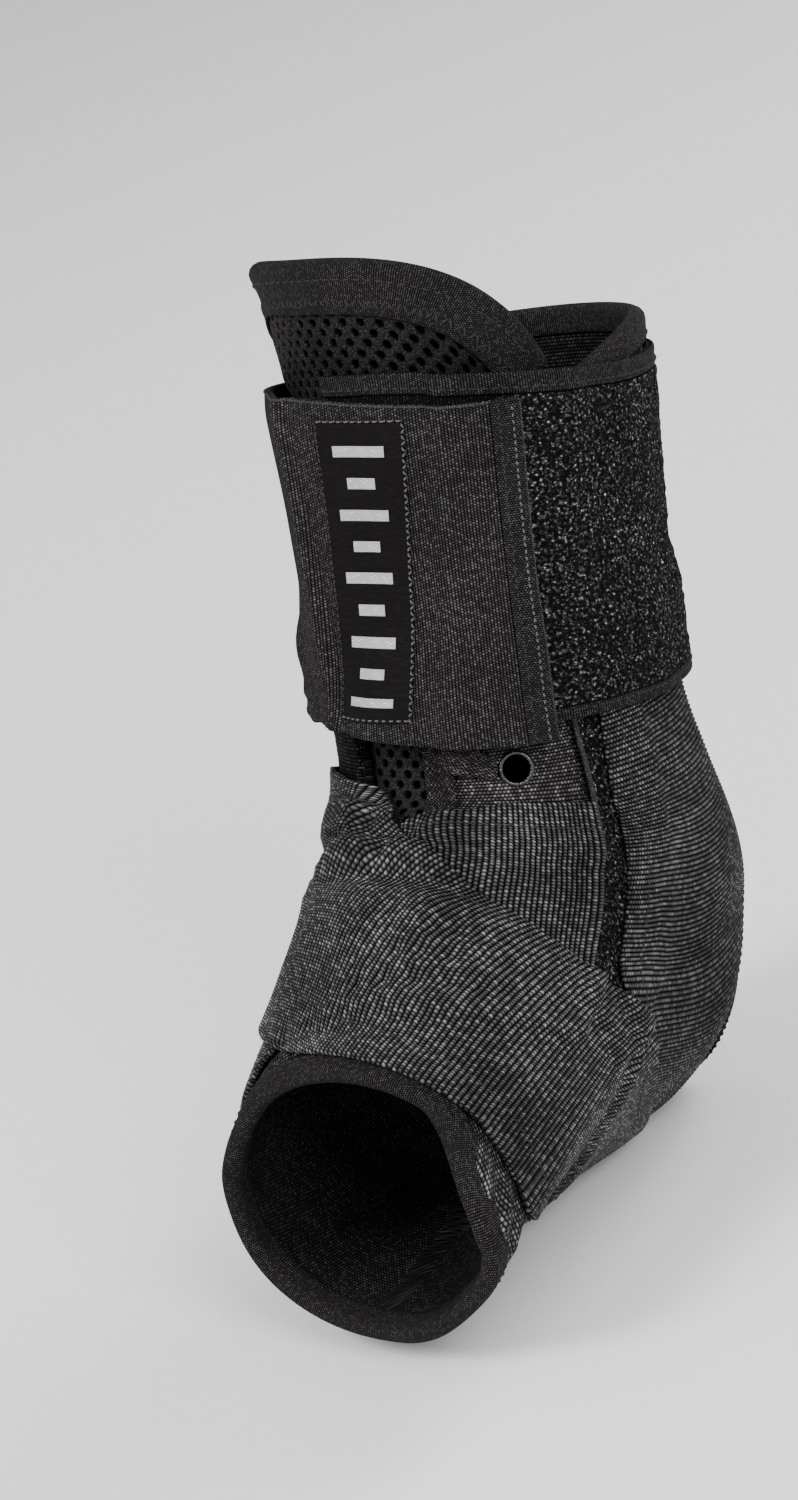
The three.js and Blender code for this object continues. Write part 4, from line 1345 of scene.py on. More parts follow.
def fold_heights(form: Form, folds: tuple[Fold, ...], rise: Array, turn: Array) -> Array:
    """Sum of the lifts of some folds on a grid of places."""
    points = form.point(rise, turn)
    return sum((fold.height(form, points) for fold in folds), np.zeros(points.shape[:-1]))


@dataclass
class Tongue:
    """The padded mesh tongue in the throat, and the wide tape folded over its top."""

    shop: Workshop
    binder: Binder
    band: float = 9.0
    fine: float = 0.74
    coarse: float = 3.0
    fine_to: float = 2.62
    gap_from: float = 4.0
    gap_to: float = 5.1
    hole_depth: float = 1.5

    def place(self, level: Array, side: Array) -> tuple[Array, Array]:
        """Place on the tongue from a level and a share from -1 to 1 across it.

        Args:
            level: level from the tongue's top to its end.
            side: share from -1 to 1 across the tongue.

        Returns:
            The rises and turns.
        """
        outline = self.shop.outline
        turn = outline.tongue_centre(level) + side * outline.tongue_half_turn(level)
        down = (level - outline.tongue_peak) / (outline.tongue_end - outline.tongue_peak)
        return mix(outline.tongue_top(turn), outline.tongue_end, down), turn

    def levels(self) -> Array:
        """Levels of the pad's lines: close together where the mesh shows, wide apart elsewhere.

        Returns:
            The levels.
        """
        outline = self.shop.outline
        per_mm = self.shop.form.rise_per_mm()
        bounds = [outline.tongue_peak, self.fine_to, self.gap_from, self.gap_to, outline.tongue_end]
        spacings = [self.fine, self.coarse, self.fine, self.coarse]
        parts = [np.linspace(start, end, max(2, round((end - start) / per_mm / spacing)))[1:]
                 for start, end, spacing in zip(bounds, bounds[1:], spacings)]
        return np.concatenate([[outline.tongue_peak], *parts])

    def holes(self, cloth: Array) -> Array:
        """Depth share of the mesh's holes: a smooth pit round each centre of a staggered grid.

        Args:
            cloth: cloth coordinates, in millimetres.

        Returns:
            The share at each place, 1 in the middle of a hole.
        """
        rows = cloth[..., 1] / MESH.along
        row = np.round(rows)
        columns = cloth[..., 0] / MESH.across + 0.5 * row
        across = (columns - np.round(columns)) * MESH.across
        along = (rows - row) * MESH.along
        return 1.0 - ease((np.hypot(across, along) - 0.55) / 0.6)

    def build(self) -> None:
        """Builds the pad, its top tape and the tape's zigzag."""
        shop = self.shop
        sides = stations(130.0, self.fine, 0.7) / 65.0 - 1.0
        level, side = np.meshgrid(self.levels(), sides, indexing="ij")
        rise, turn = self.place(level, side)
        cloth = cloth_map(shop.form, rise, turn)
        pad = shop.outline.tongue_pad(rise, turn)
        half = pad / 2.0 * edge_share(cloth, 1.4)
        pit = np.minimum(self.hole_depth, 0.55 * pad) * self.holes(cloth)
        grown = np.maximum(pad / 2.0 + half - pit, pad / 2.0 - half + 0.15)
        lean = shop.outline.tongue_lean(rise, turn)
        patch = Patch(rise, turn, lean + pad / 2.0 - half, lean + grown, cloth)
        shop.shell("tongue_mesh_pad", [patch], MESH, ("tongue_pad",))
        self.bind()

    def bind(self) -> None:
        """Folds the top tape and sews its zigzag and its lower line."""
        shop = self.shop
        share = np.linspace(-1.0, 1.0, 260)
        top = shop.outline.tongue_peak
        rise, turn = self.place(np.full_like(share, top), share)
        inside = self.place(np.full_like(share, top + 0.1), share)
        pad = shop.outline.tongue_pad(rise, turn)
        lean = shop.outline.tongue_lean
        edge = replace(sheet_edge(shop.form, rise, turn, inside, np.zeros_like(pad), pad), lean=lean)
        self.binder.fold("tongue_top_tape", edge, self.band, TAPE, ("tongue_binding",))
        tape = shop.walls.seat_gap + shop.walls.tape
        for label, depth, swing, pitch in (("zigzag", 6.6, 1.3, 1.7), ("line", 1.5, 0.0, 2.6)):
            near_rise, near_turn = shop.form.step(rise, turn, -edge.outward * depth)
            height = shop.outline.tongue_pad(near_rise, near_turn)
            middle = (shop.outline.tongue_pad(rise, turn)) / 2.0
            lift = np.maximum(height, middle + np.mean(pad) / 2.0 + tape) + lean(near_rise, near_turn)
            self.binder.stitches(f"tongue_tape_{label}", near_rise[6:-6], near_turn[6:-6], lift[6:-6],
                                 THREAD, pitch, swing)


@dataclass
class Boot:
    """The padded boot: two sides that meet at the back, under the sole and below the throat."""

    shop: Workshop
    binder: Binder
    columns: int = 46
    crowding: float = 1.2
    shaft_lines: int = 40
    heel_lines: int = 46
    foot_lines: int = 90
    heel_samples: int = 2400
    heel_sections: int = 240
    heel_step: tuple[float, float] = (0.12, 6.0)
    folds: tuple[Fold, ...] = (
        Fold((10.72, 62), (11.10, 78), 2.2, 2.3),
        Fold((10.74, 80), (11.10, 94), 2.0, 2.5),
        Fold((10.70, 98), (11.04, 110), 2.3, 1.8),
    )

    def levels(self) -> Array:
        """Levels from the collar to the toes, closer together round the heel opening's ends.

        Returns:
            The levels.
        """
        outline = self.shop.outline
        top = outline.heel_rise - outline.heel_half
        bottom = outline.heel_rise + outline.heel_half
        angle = np.linspace(0.0, math.pi, self.heel_lines)
        opening = outline.heel_rise - outline.heel_half * np.cos(angle)
        return np.concatenate([np.linspace(outline.boot_top, top, self.shaft_lines)[:-1], opening,
                               np.linspace(bottom, outline.toe_end(), self.foot_lines)[1:]])

    def half(self, side: float) -> Patch:
        """One side of the boot, from its throat edge to the back or the heel opening.

        Args:
            side: 1 for the inner side, -1 for the outer side.

        Returns:
            The grid with its two skins.
        """
        outline, form = self.shop.outline, self.shop.form
        share = np.linspace(0.0, 1.0, self.columns) ** self.crowding
        level, across = np.meshgrid(self.levels(), share, indexing="ij")
        turn = side * mix(outline.throat_turn(level), outline.heel_edge(level), across)
        rise = outline.boot_place(level, turn)
        lift = fold_heights(form, self.folds, rise, turn)
        inner = outline.boot_height(rise, turn) + lift
        patch = Patch(rise, turn, inner, inner + self.shop.walls.boot, cloth_map(form, rise, turn))
        if side > 0.0:
            return patch
        return Patch(*(value[:, ::-1] for value in (patch.rise, patch.turn, patch.inner, patch.outer,
                                                    patch.cloth)))

    def build(self) -> None:
        """Builds the boot's cloth and the tapes round its toe, collar and heel edges."""
        boot = self.shop.shell("boot_cloth_shell", [self.half(1.0), self.half(-1.0)], BOOT_CLOTH,
                               ("boot_shell",), BOOT_LINING)
        self.bind_toe()
        self.bind_collar()
        self.bind_heel()

    def skins(self, rise: Array, turn: Array) -> tuple[Array, Array]:
        """Heights of the boot's inner and outer skins at some places."""
        inner = self.shop.outline.boot_height(rise, turn)
        inner = inner + fold_heights(self.shop.form, self.folds, rise, turn)
        return inner, inner + self.shop.walls.boot

    def bind_toe(self) -> None:
        """Folds the closed tape round the toe opening."""
        outline = self.shop.outline
        turn = np.linspace(-BACK, BACK, 361)[:-1]
        rise = outline.boot_place(np.full_like(turn, outline.toe_end()), turn)
        edge = sheet_edge(self.shop.form, rise, turn, (rise - 0.05, turn), *self.skins(rise, turn), True)
        self.binder.fold("toe_edge_tape", edge, outline.edge_band, TAPE, ("toe_binding",))
        depth = outline.edge_band * np.linspace(0.0, 1.0, 4)
        under = -edge.outward[:, None] * depth[None, :, None]
        tape_rise, tape_turn = self.shop.form.step(rise[:, None] + 0.0 * depth, turn[:, None] + 0.0 * depth,
                                                   under)
        self.shop.layers.lay(tape_rise, tape_turn, self.shop.walls.seat_gap + self.shop.walls.tape)
        self.sew("toe_edge_stitches", edge)

    def bind_collar(self) -> None:
        """Folds the tape over the collar where it stands above the cuff, from one side to the other."""
        outline = self.shop.outline
        turn = np.linspace(66.0, FULL_TURN - 66.0, 300)
        rise = outline.boot_place(np.full_like(turn, outline.boot_top), signed_turn(turn))
        edge = sheet_edge(self.shop.form, rise, turn, (rise + 0.05, turn), *self.skins(rise, turn))
        self.binder.fold("collar_edge_tape", edge, outline.edge_band, TAPE, ("collar_binding",))
        self.sew("collar_edge_stitches", edge)

    def bind_heel(self) -> None:
        """Folds the closed tape round the heel opening."""
        outline, form = self.shop.outline, self.shop.form
        angle = full_circle(self.heel_samples)
        rise = outline.heel_rise - outline.heel_half * np.cos(angle)
        reach = BACK - outline.heel_edge(rise)
        turn = BACK - np.where(angle < math.pi, reach, -reach)
        points = form.point(rise, turn)
        run = path_lengths(np.vstack([points, points[:1]]))
        wanted = np.linspace(0.0, run[-1], self.heel_sections + 1)[:-1]
        rise = np.interp(wanted, run[:-1], rise)
        turn = np.interp(wanted, run[:-1], turn)
        down, around = rise - outline.heel_rise, turn - BACK
        away = (rise + self.heel_step[0] * np.sign(down) * np.abs(down / outline.heel_half),
                turn + self.heel_step[1] * np.sign(around) * (np.abs(around) / outline.heel_turn))
        edge = sheet_edge(form, rise, turn, away, *self.skins(rise, turn), True)
        self.binder.fold("heel_edge_tape", edge, outline.edge_band, TAPE, ("heel_binding",))
        self.sew("heel_edge_stitches", edge)

    def sew(self, name: str, edge: Edge) -> None:
        """A line of stitches on a tape, near its deep edge.

        Args:
            name: the piece's name.
            edge: the edge that the tape is folded over.
        """
        walls = self.shop.walls
        rise, turn = self.shop.form.step(edge.rise, edge.turn,
                                         -edge.outward * (self.shop.outline.edge_band - 1.1))
        lift = edge.outer + walls.seat_gap + walls.tape
        self.binder.stitches(name, rise, turn, lift, THREAD)


@dataclass
class Lacing:
    """The woven facings beside the throat, the eyelet and the lengths of flat lace that show."""

    shop: Workshop
    top: float = 2.5
    end: float = 6.2
    from_throat: float = -0.8
    from_strip: float = 2.6
    eyelet_rise: float = 4.6
    eyelet_turn: float = 37.5
    eyelet_radius: float = 4.0
    eyelet_hole: float = 2.9
    eyelet_lift: float = 0.05
    eyelet_sides: int = 72
    barrel_wall: float = 0.3
    barrel_top: float = -0.2
    roll_height: float = 0.4
    roll_swell: float = 1.3
    well_depth: float = 1.3
    well_dish: float = 0.3
    well_wall: float = 0.15
    well_middle: float = 0.02
    strand: float = 0.16
    lower_route: Array = field(default_factory=lambda: np.array([
        [4.05, 19, 4.05, 6], [4.60, 19, 4.60, 6], [5.20, 19, 5.20, 7], [6.60, 17, 6.60, 8]], float))
    upper_route: Array = field(default_factory=lambda: np.array([
        [4.40, 31.5, 4.76, 31.0], [4.24, 25, 4.62, 20], [4.02, 17, 4.40, 11], [3.78, 9, 4.16, 2]]))

    def build(self, strips: "LoopStrips") -> None:
        """Builds the facings, the eyelet and the laces, in the order in which they lie.

        Args:
            strips: the loop strips, which the facings end beside.
        """
        middle = self.shop.form.point(self.eyelet_rise, self.eyelet_turn)
        hole = Hole(middle, (self.eyelet_radius + self.eyelet_hole) / 2.0)
        self.facing("medial_facing_cloth", "medial_eyelet_facing", 1.0, strips, FACING, hole)
        # The outer facing wears the darker copy of the weave, as painted shade.
        self.facing("lateral_facing_cloth", "lateral_eyelet_facing", -1.0, strips, SHADED_FACING)
        self.eyelet()
        self.lace("lace_lower_braid", "lace_lower", self.lower_route)
        self.lace("lace_upper_braid", "lace_upper", self.upper_route)

    def facing(self, name: str, node: str, side: float, strips: "LoopStrips", finish: Finish,
               hole: Hole | None = None) -> None:
        """One facing, from the throat to the loop strip, with a hole where it holds an eyelet.

        Args:
            name: the piece's name.
            node: the CAD node that the piece stands for.
            side: 1 for the inner side, -1 for the outer side.
            strips: the loop strips, which the facing ends beside.
            finish: the finish that it wears.
            hole: a round hole to leave out, or None.
        """
        shop = self.shop
        spacing = 0.5 if hole else 1.0
        levels = mix(self.top, self.end, stations(86.0, spacing, 0.5) / 86.0)
        share = stations(30.0, spacing, 0.5) / 30.0
        rise, across = np.meshgrid(levels, share, indexing="ij")
        front = shop.outline.throat_turn(rise) + self.from_throat
        turn = side * mix(front, strips.front(rise) - self.from_strip, across)
        base = shop.layers.height(rise, turn)
        shop.sheet(name, rise, turn, base, shop.walls.facing, finish, (node,), 0.0, hole)
        shop.layers.lay(rise, turn, shop.walls.facing + shop.walls.gap)

    def eyelet(self) -> None:
        """The eyelet: a rolled flange round a barrel, its profile carried round a circle, and a near-black
        disc that closes its hole, whose colour is painted shade of the hole's inside.
        """
        shop = self.shop
        rise, turn = np.array([self.eyelet_rise]), np.array([self.eyelet_turn])
        normal = shop.form.normal(rise, turn)[0]
        seat = float(shop.layers.height(rise, turn)[0]) - shop.walls.gap + self.eyelet_lift
        centre = shop.form.lifted(rise, turn, np.array([seat]))[0]
        angle = np.linspace(-0.35 * math.pi, 1.05 * math.pi, 15)
        roll = (self.eyelet_radius - self.eyelet_hole) / 2.0
        barrel = self.eyelet_hole + self.barrel_wall
        radius = self.eyelet_hole + roll + roll * np.cos(angle)
        height = self.roll_height + self.roll_swell * roll * np.sin(angle)
        radius = np.concatenate([radius, [self.eyelet_hole, barrel, barrel]])
        height = np.concatenate([height, [-self.well_depth, -self.well_depth, self.barrel_top]])
        across = unit(np.cross(normal, [0.0, 0.0, 1.0]))
        up = np.cross(across, normal)
        around = full_circle(self.eyelet_sides)
        spoke = np.cos(around)[:, None] * across + np.sin(around)[:, None] * up
        rings = centre + spoke[:, None] * radius[None, :, None] + normal * height[None, :, None]
        shop.tube("eyelet_ring", rings, ENAMEL, True, np.zeros(rings.shape[:2] + (2,)), ("eyelet",))
        # The disc under the barrel closes the hole; its near-black colour paints the shade inside the hole.
        well = np.linspace(self.eyelet_hole, self.well_middle, 8)
        depth = self.well_dish * (well / self.eyelet_hole) ** 2 - self.well_depth
        disc = centre + spoke[:, None] * well[None, :, None] + normal * depth[None, :, None]
        under = disc - normal * self.well_wall
        rings = np.concatenate([disc, under[:, ::-1]], axis=1)
        cloth = np.stack([rings[..., 0], rings[..., 2]], -1)
        shop.tube("eyelet_hole_shade_disc", rings, EYELET_HOLE_SHADE, True, cloth)

    def lace(self, name: str, node: str, route: Array) -> None:
        """One flat lace: a sheet along its route, with slanted strands raised on it.

        Args:
            name: the piece's name.
            node: the CAD node that the piece stands for.
            route: rise and turn of the two sides, a row for each section.
        """
        shop = self.shop
        rise, turn = route_grid(shop.form, route, 0.35, 0.35, 0.4)
        cloth = cloth_map(shop.form, rise, turn)
        slant = np.abs(np.mod(cloth[..., 0] + 2.25, 4.5) - 2.25)
        strands = self.strand * np.sin(2.0 * math.pi * (cloth[..., 1] + slant) / BRAID.along / 1.6)
        base = shop.layers.height(rise, turn)
        shop.sheet(name, rise, turn, base, shop.walls.lace, BRAID, (node,), strands)
        shop.layers.lay(rise, turn, shop.walls.lace + shop.walls.gap)


def route_grid(form: Form, route: Array, spacing: float, across_spacing: float,
               edge: float) -> tuple[Array, Array]:
    """Places of a strip from its route: even along its middle line, and straight across each line.

    Args:
        form: the form that it follows.
        route: rise and turn of the two sides, a row for each section.
        spacing: spacing of the lines, in millimetres.
        across_spacing: spacing across the strip.
        edge: length of a rounded edge.

    Returns:
        The rises and turns, with the strip's length as the first axis.
    """
    last = len(route) - 1
    share = np.linspace(0.0, 1.0, ROUTE_SAMPLES * last + 1)
    fine = read_table(route, share * last)
    middle = form.point((fine[:, 0] + fine[:, 2]) / 2.0, (fine[:, 1] + fine[:, 3]) / 2.0)
    run = path_lengths(middle)
    along = np.interp(stations(float(run[-1]), spacing, edge), run, share)
    width = float(np.linalg.norm(form.point(fine[:, 0], fine[:, 1])
                                 - form.point(fine[:, 2], fine[:, 3]), axis=-1).mean())
    across = stations(width, across_spacing, edge) / width
    return between_sides(read_table(route, along * last)[:, None], across[None])


def between_sides(rows: Array, share: Array) -> tuple[Array, Array]:
    """Places at shares of the way from the first side of a route's rows to the second."""
    return mix(rows[..., 0], rows[..., 2], share), mix(rows[..., 1], rows[..., 3], share)


@dataclass
class LoopStrips:
    """The loop strips behind the facings, each with a light piping on its front edge."""

    shop: Workshop
    rise_at: float = 5.18
    turn_at: float = 62.4
    slope: float = 3.23
    top: float = 3.6
    end: float = 8.7
    width: float = 24.0
    length_mm: float = 110.0
    width_mm: float = 16.0
    nap: float = 0.22
    piping: float = 0.62
    piping_turn: float = 0.7
    piping_lift: float = 0.9
    strips: tuple[tuple[str, float, float], ...] = (("medial", 1.0, 0.0), ("lateral", -1.0, 1.0))

    def front(self, rise: Array) -> Array:
        """Turn of a strip's front edge, which slants with the rise."""
        return self.turn_at + self.slope * (rise - self.rise_at)

    def build(self) -> None:
        """Builds both strips and their piping, and then lets both lift what is laid over them."""
        for name, side, shift in self.strips:
            self.strip(name, side, shift)
        rise, across = np.meshgrid(np.linspace(self.top, self.end, 80), np.linspace(0.0, 1.0, 12),
                                   indexing="ij")
        for _, side, shift in self.strips:
            turn = side * (self.front(rise) + shift + across * self.width)
            self.shop.layers.lay(rise, turn, self.shop.walls.loop_strip + self.shop.walls.gap)

    def strip(self, name: str, side: float, shift: float) -> None:
        """One strip of pile, seated over the boot, and the piping along its front.

        Args:
            name: the side's name.
            side: 1 for the inner side, -1 for the outer side.
            shift: how far it is turned on, in degrees.
        """
        shop = self.shop
        levels = mix(self.top, self.end, stations(self.length_mm, 0.9, 0.6) / self.length_mm)
        share = stations(self.width_mm, 0.5, 0.6) / self.width_mm
        rise, across = np.meshgrid(levels, share, indexing="ij")
        turn = side * (self.front(rise) + shift + across * self.width)
        base = shop.layers.height(rise, turn)
        fuzz = self.nap * grown_noise(rise.shape, 1, SEED)
        shop.sheet(f"{name}_strip_pile", rise, turn, base, shop.walls.loop_strip, PILE,
                   (f"{name}_loop_strip",), fuzz)
        rise = np.linspace(self.top, self.end, 260)
        turn = side * (self.front(rise) + shift - self.piping_turn)
        height = shop.layers.height(rise, turn) + self.piping_lift
        shop.cord(f"{name}_strip_piping", rise, turn, height, self.piping, PIPING)


@dataclass
class Straps:
    """Two webbing straps that cross over the instep, pass under the foot and rise behind the ankle."""

    shop: Workshop
    binder: Binder
    rib_height: float = 0.24
    across_spacing: float = 3.0
    stitch_samples: int = 240
    stitch_column: int = 5
    stitch_pitch: float = 2.8
    outer_start: tuple = (
        (4.72, -62, 9.10, -76), (4.62, -45, 9.60, -63), (4.67, -26, 10.0, -50), (5.00, -10, 10.3, -38),
        (6.60, 6, 10.48, -26), (7.75, 20, 10.58, -13), (8.30, 34, 10.62, 5), (8.45, 49, 10.64, 23),
        (8.45, 64, 10.64, 42), (8.30, 80, 10.64, 62), (8.12, 96, 10.66, 82), (8.05, 113, 10.6, 102),
    )
    inner_start: tuple = (
        (5.18, -61, 9.20, -74), (5.16, -45, 9.60, -56), (5.20, -28, 9.95, -34), (5.85, -7, 10.1, -12),
        (7.40, 12, 10.2, 6), (8.10, 28, 10.3, 22), (8.40, 45, 10.38, 38), (8.45, 62, 10.42, 55),
        (8.30, 79, 10.46, 72), (8.12, 96, 10.48, 88), (8.05, 113, 10.45, 104),
    )
    under_and_up: tuple = (
        (8.00, 140, 10.3, 125), (7.90, 165, 9.90, 150), (7.75, 185, 9.45, 180), (7.40, 205, 8.95, 215),
        (7.00, 221, 8.50, 245), (6.35, 232, 8.12, 275), (5.90, 232, 7.58, 282), (5.30, 230, 5.90, 288),
        (4.65, 233, 4.93, 292), (3.70, 236, 3.75, 291),
    )
    folds: tuple[Fold, ...] = (
        Fold((6.2, -14), (9.9, -3), 5.5, 1.5),
        Fold((8.5, 19), (9.6, 19), 4.0, 1.7),
        Fold((8.3, 40), (9.9, 36), 6.0, 1.4),
        Fold((9.4, 52), (10.2, 58), 6.0, 0.9),
        Fold((8.1, 4), (9.9, 13), 2.2, -0.8),
        Fold((7.9, 33), (10.0, 28), 2.4, -0.8),
    )

    def build(self) -> None:
        """Builds the inner strap, which lies under, and then the outer one."""
        inner = np.array(self.inner_start + self.under_and_up, float) * [1.0, -1.0, 1.0, -1.0]
        outer = np.array(self.outer_start + self.under_and_up, float)
        self.strap("strap_inner_webbing", "strap_inner", inner, ())
        self.strap("strap_outer_webbing", "strap_outer", outer, self.folds)

    def strap(self, name: str, node: str, route: Array,
              folds: tuple[Fold, ...]) -> None:
        """One strap: a sheet along its route, with a rib raised every few threads of its length.

        Args:
            name: the piece's name.
            node: the CAD node that the piece stands for.
            route: rise and turn of the two sides, a row for each section.
            folds: the folds in it.
        """
        shop = self.shop
        rise, turn = route_grid(shop.form, route, WEBBING.along / 4.0, self.across_spacing, 0.6)
        cloth = cloth_map(shop.form, rise, turn)
        ribs = -self.rib_height * np.cos(2.0 * math.pi * cloth[..., 1] / WEBBING.along)
        base = shop.layers.height(rise, turn) + fold_heights(shop.form, folds, rise, turn)
        shop.sheet(name, rise, turn, base, shop.walls.strap, WEBBING, (node,), ribs)
        step = max(1, len(rise) // self.stitch_samples)
        thinned = slice(step, -step, step)
        for label, column in (("heel", self.stitch_column), ("toe", -self.stitch_column - 1)):
            self.binder.stitches(f"{name}_{label}_stitches", rise[thinned, column], turn[thinned, column],
                                 (base + shop.walls.strap)[thinned, column], THREAD, self.stitch_pitch)
        shop.layers.lay(rise, turn, shop.walls.strap + shop.walls.crossing_gap)


@dataclass
class Cuff:
    """The cuff: a loop-faced wing with taped edges, and an elastic wing over it with a hem and a label."""

    shop: Workshop
    binder: Binder
    back_gap: float = 0.6
    loop_start: float = -12.0
    loop_turns: tuple[float, float] = (0.0, 110.0)
    loop_tops: tuple[float, float] = (2.13, 2.33)
    loop_bottoms: tuple[float, float] = (4.06, 4.14)
    loop_spacing: float = 0.74
    elastic_end: float = 49.0
    elastic_bend: float = -40.0
    elastic_turns: tuple[float, float] = (-130.0, 50.0)
    elastic_tops: tuple[float, float, float] = (2.32, 2.22, 2.33)
    elastic_bottoms: tuple[float, float] = (3.94, 4.26)
    bottom_turns: tuple[float, float] = (-60.0, 50.0)
    droop: float = 0.13
    droop_turns: tuple[float, float] = (-50.0, -25.0)
    elastic_height: float = 80.0
    tape: float = 4.6
    tape_seam: float = 0.3
    tape_dip: float = 0.25
    tape_dip_half: float = 0.35
    hem: float = 4.6
    hem_height: float = 78.0
    wale_height: float = 0.09
    edge_line: float = 0.32
    seat_lift: float = 0.08
    nap: float = 0.32
    nap_lift: float = 0.1
    pile_drop: float = 2.6
    pile_drop_turns: tuple[float, float] = (-9.0, -3.0)
    loop_cut: tuple[float, float] = (0.077, 0.138)
    elastic_cut: tuple[float, float] = (0.078, 0.172)
    label_lift: float = 0.1
    mark_wall: float = 0.28
    mark_lift: float = 0.02
    mark_height: float = 2.6
    mark_shares: tuple[float, float] = (0.09, 0.91)
    mark_reaches: tuple[float, float] = (0.30, 0.17)
    mark_count: int = 9
    label_length: float = 72.0
    label_width: float = 21.0
    label_rows: Array = field(default_factory=lambda: np.array([
        [2.36, -11, 2.38, 18], [3.94, -16, 3.95, 10]], float))
    elastic_folds: tuple[Fold, ...] = (
        Fold((4.05, -64), (3.95, -36), 1.5, 1.3),
        Fold((3.88, -66), (3.84, -38), 1.6, 1.0),
        Fold((3.46, -62), (3.70, -44), 3.0, 0.9),
        Fold((2.28, -60), (2.28, 44), 1.3, 0.55),
    )

    def loop_top(self, turn: Array) -> Array:
        """Rise of the loop wing's upper edge."""
        return blend(turn, *self.loop_turns, *self.loop_tops)

    def loop_bottom(self, turn: Array) -> Array:
        """Rise of the loop wing's lower edge."""
        return blend(turn, *self.loop_turns, *self.loop_bottoms)

    def elastic_top(self, turn: Array) -> Array:
        """Rise of the elastic wing's upper edge."""
        (start, end), (outer, middle, inner) = self.elastic_turns, self.elastic_tops
        return np.where(turn < self.elastic_bend, blend(turn, start, self.elastic_bend, outer, middle),
                        blend(turn, self.elastic_bend, end, middle, inner))

    def elastic_bottom(self, turn: Array) -> Array:
        """Rise of the elastic wing's lower edge, which hangs a little lower on the outer side."""
        droop = blend(turn, *self.droop_turns, self.droop, 0.0)
        return blend(turn, *self.bottom_turns, *self.elastic_bottoms) + droop

    def elastic_rise(self, down: Array, turn: Array) -> Array:
        """Rise at a share of the way down the elastic wing."""
        return mix(self.elastic_top(turn), self.elastic_bottom(turn), down)

    def build(self) -> None:
        """Builds the loop wing, the elastic wing over it, its hem and its label."""
        self.loop_wing()
        self.elastic_wing()

    def wing_grid(self, start: float, end: float, spacing: float, downs: Array, top: Callable,
                  bottom: Callable) -> tuple[Array, Array]:
        """Places of a wing: turns along it, and shares from its top edge to its bottom edge.

        Args:
            start: first turn.
            end: last turn.
            spacing: spacing of the lines, in millimetres.
            downs: shares of the way down.
            top: gives the upper edge's rise at a turn.
            bottom: gives the lower edge's rise at a turn.

        Returns:
            The rises and turns, with the turns as the first axis.
        """
        around = float(self.shop.form.ankle_width) / 2.0 * math.radians(end - start)
        turns = mix(start, end, stations(around, spacing, 0.7) / around)
        turn, down = np.meshgrid(turns, downs, indexing="ij")
        return mix(top(turn), bottom(turn), down), turn

    def loop_wing(self) -> None:
        """The under wing: a backing cloth, the pile on it, and a tape along each long edge."""
        shop = self.shop
        start, end = self.loop_start, BACK - self.back_gap
        height = float(self.loop_bottom(0.0) - self.loop_top(0.0)) / shop.form.rise_per_mm()
        wing = (start, end, self.loop_spacing)
        edges = (self.loop_top, self.loop_bottom)
        rise, turn = self.wing_grid(*wing, stations(height, 1.2, 0.6) / height, *edges)
        base = shop.layers.height(rise, turn, BRIDGING)
        backing = shop.sheet("cuff_wing_backing", rise, turn, base, shop.walls.cuff_base, BACKING,
                             ("cuff_loop_wing",))
        seat = shop.walls.cuff_base + self.seat_lift
        tape, seam = self.tape / height, (self.tape + self.tape_seam) / height
        for name, node, low, high, finish in (
                ("cuff_top_edge_tape", "cuff_top_tape", 0.0, tape, TAPE),
                ("cuff_pile_face", "cuff_loop_pile", seam, 1.0 - seam, PILE),
                ("cuff_bottom_edge_tape", "cuff_bottom_tape", 1.0 - tape, 1.0, TAPE)):
            width = (high - low) * height
            down = low + (high - low) * stations(width, self.loop_spacing, 0.5) / width
            rise, turn = self.wing_grid(*wing, down, *edges)
            face_base = shop.layers.height(rise, turn, BRIDGING) + seat
            if finish is PILE:
                drop = blend(turn - self.elastic_end, *self.pile_drop_turns, self.pile_drop, 0.0)
                rise = rise + drop * shop.form.rise_per_mm() * ((high - down) / (high - low))[None]
                relief = self.nap * grown_noise(rise.shape, 1, SEED + 1) + self.nap_lift
            else:
                away = (down - (low + high) / 2.0) * height / self.tape_dip_half
                relief = -self.tape_dip * np.exp(-away ** 2)[None]
            shop.sheet(name, rise, turn, face_base, shop.walls.cuff_face, finish, (node,), relief)
        for name, share in (("top", tape * 0.72), ("bottom", 1.0 - tape * 0.72)):
            turn = np.linspace(start + 0.8, end - 0.8, 400)
            rise = mix(self.loop_top(turn), self.loop_bottom(turn), share)
            lift = shop.layers.height(rise, turn, BRIDGING) + seat + shop.walls.cuff_face
            self.binder.stitches(f"cuff_{name}_tape_stitches", rise, turn, lift, THREAD, 2.3)
        rise, turn = self.wing_grid(*wing, np.linspace(0.0, 1.0, 50), *edges)
        shop.layers.lay(rise, turn, seat + shop.walls.cuff_face + shop.walls.gap)

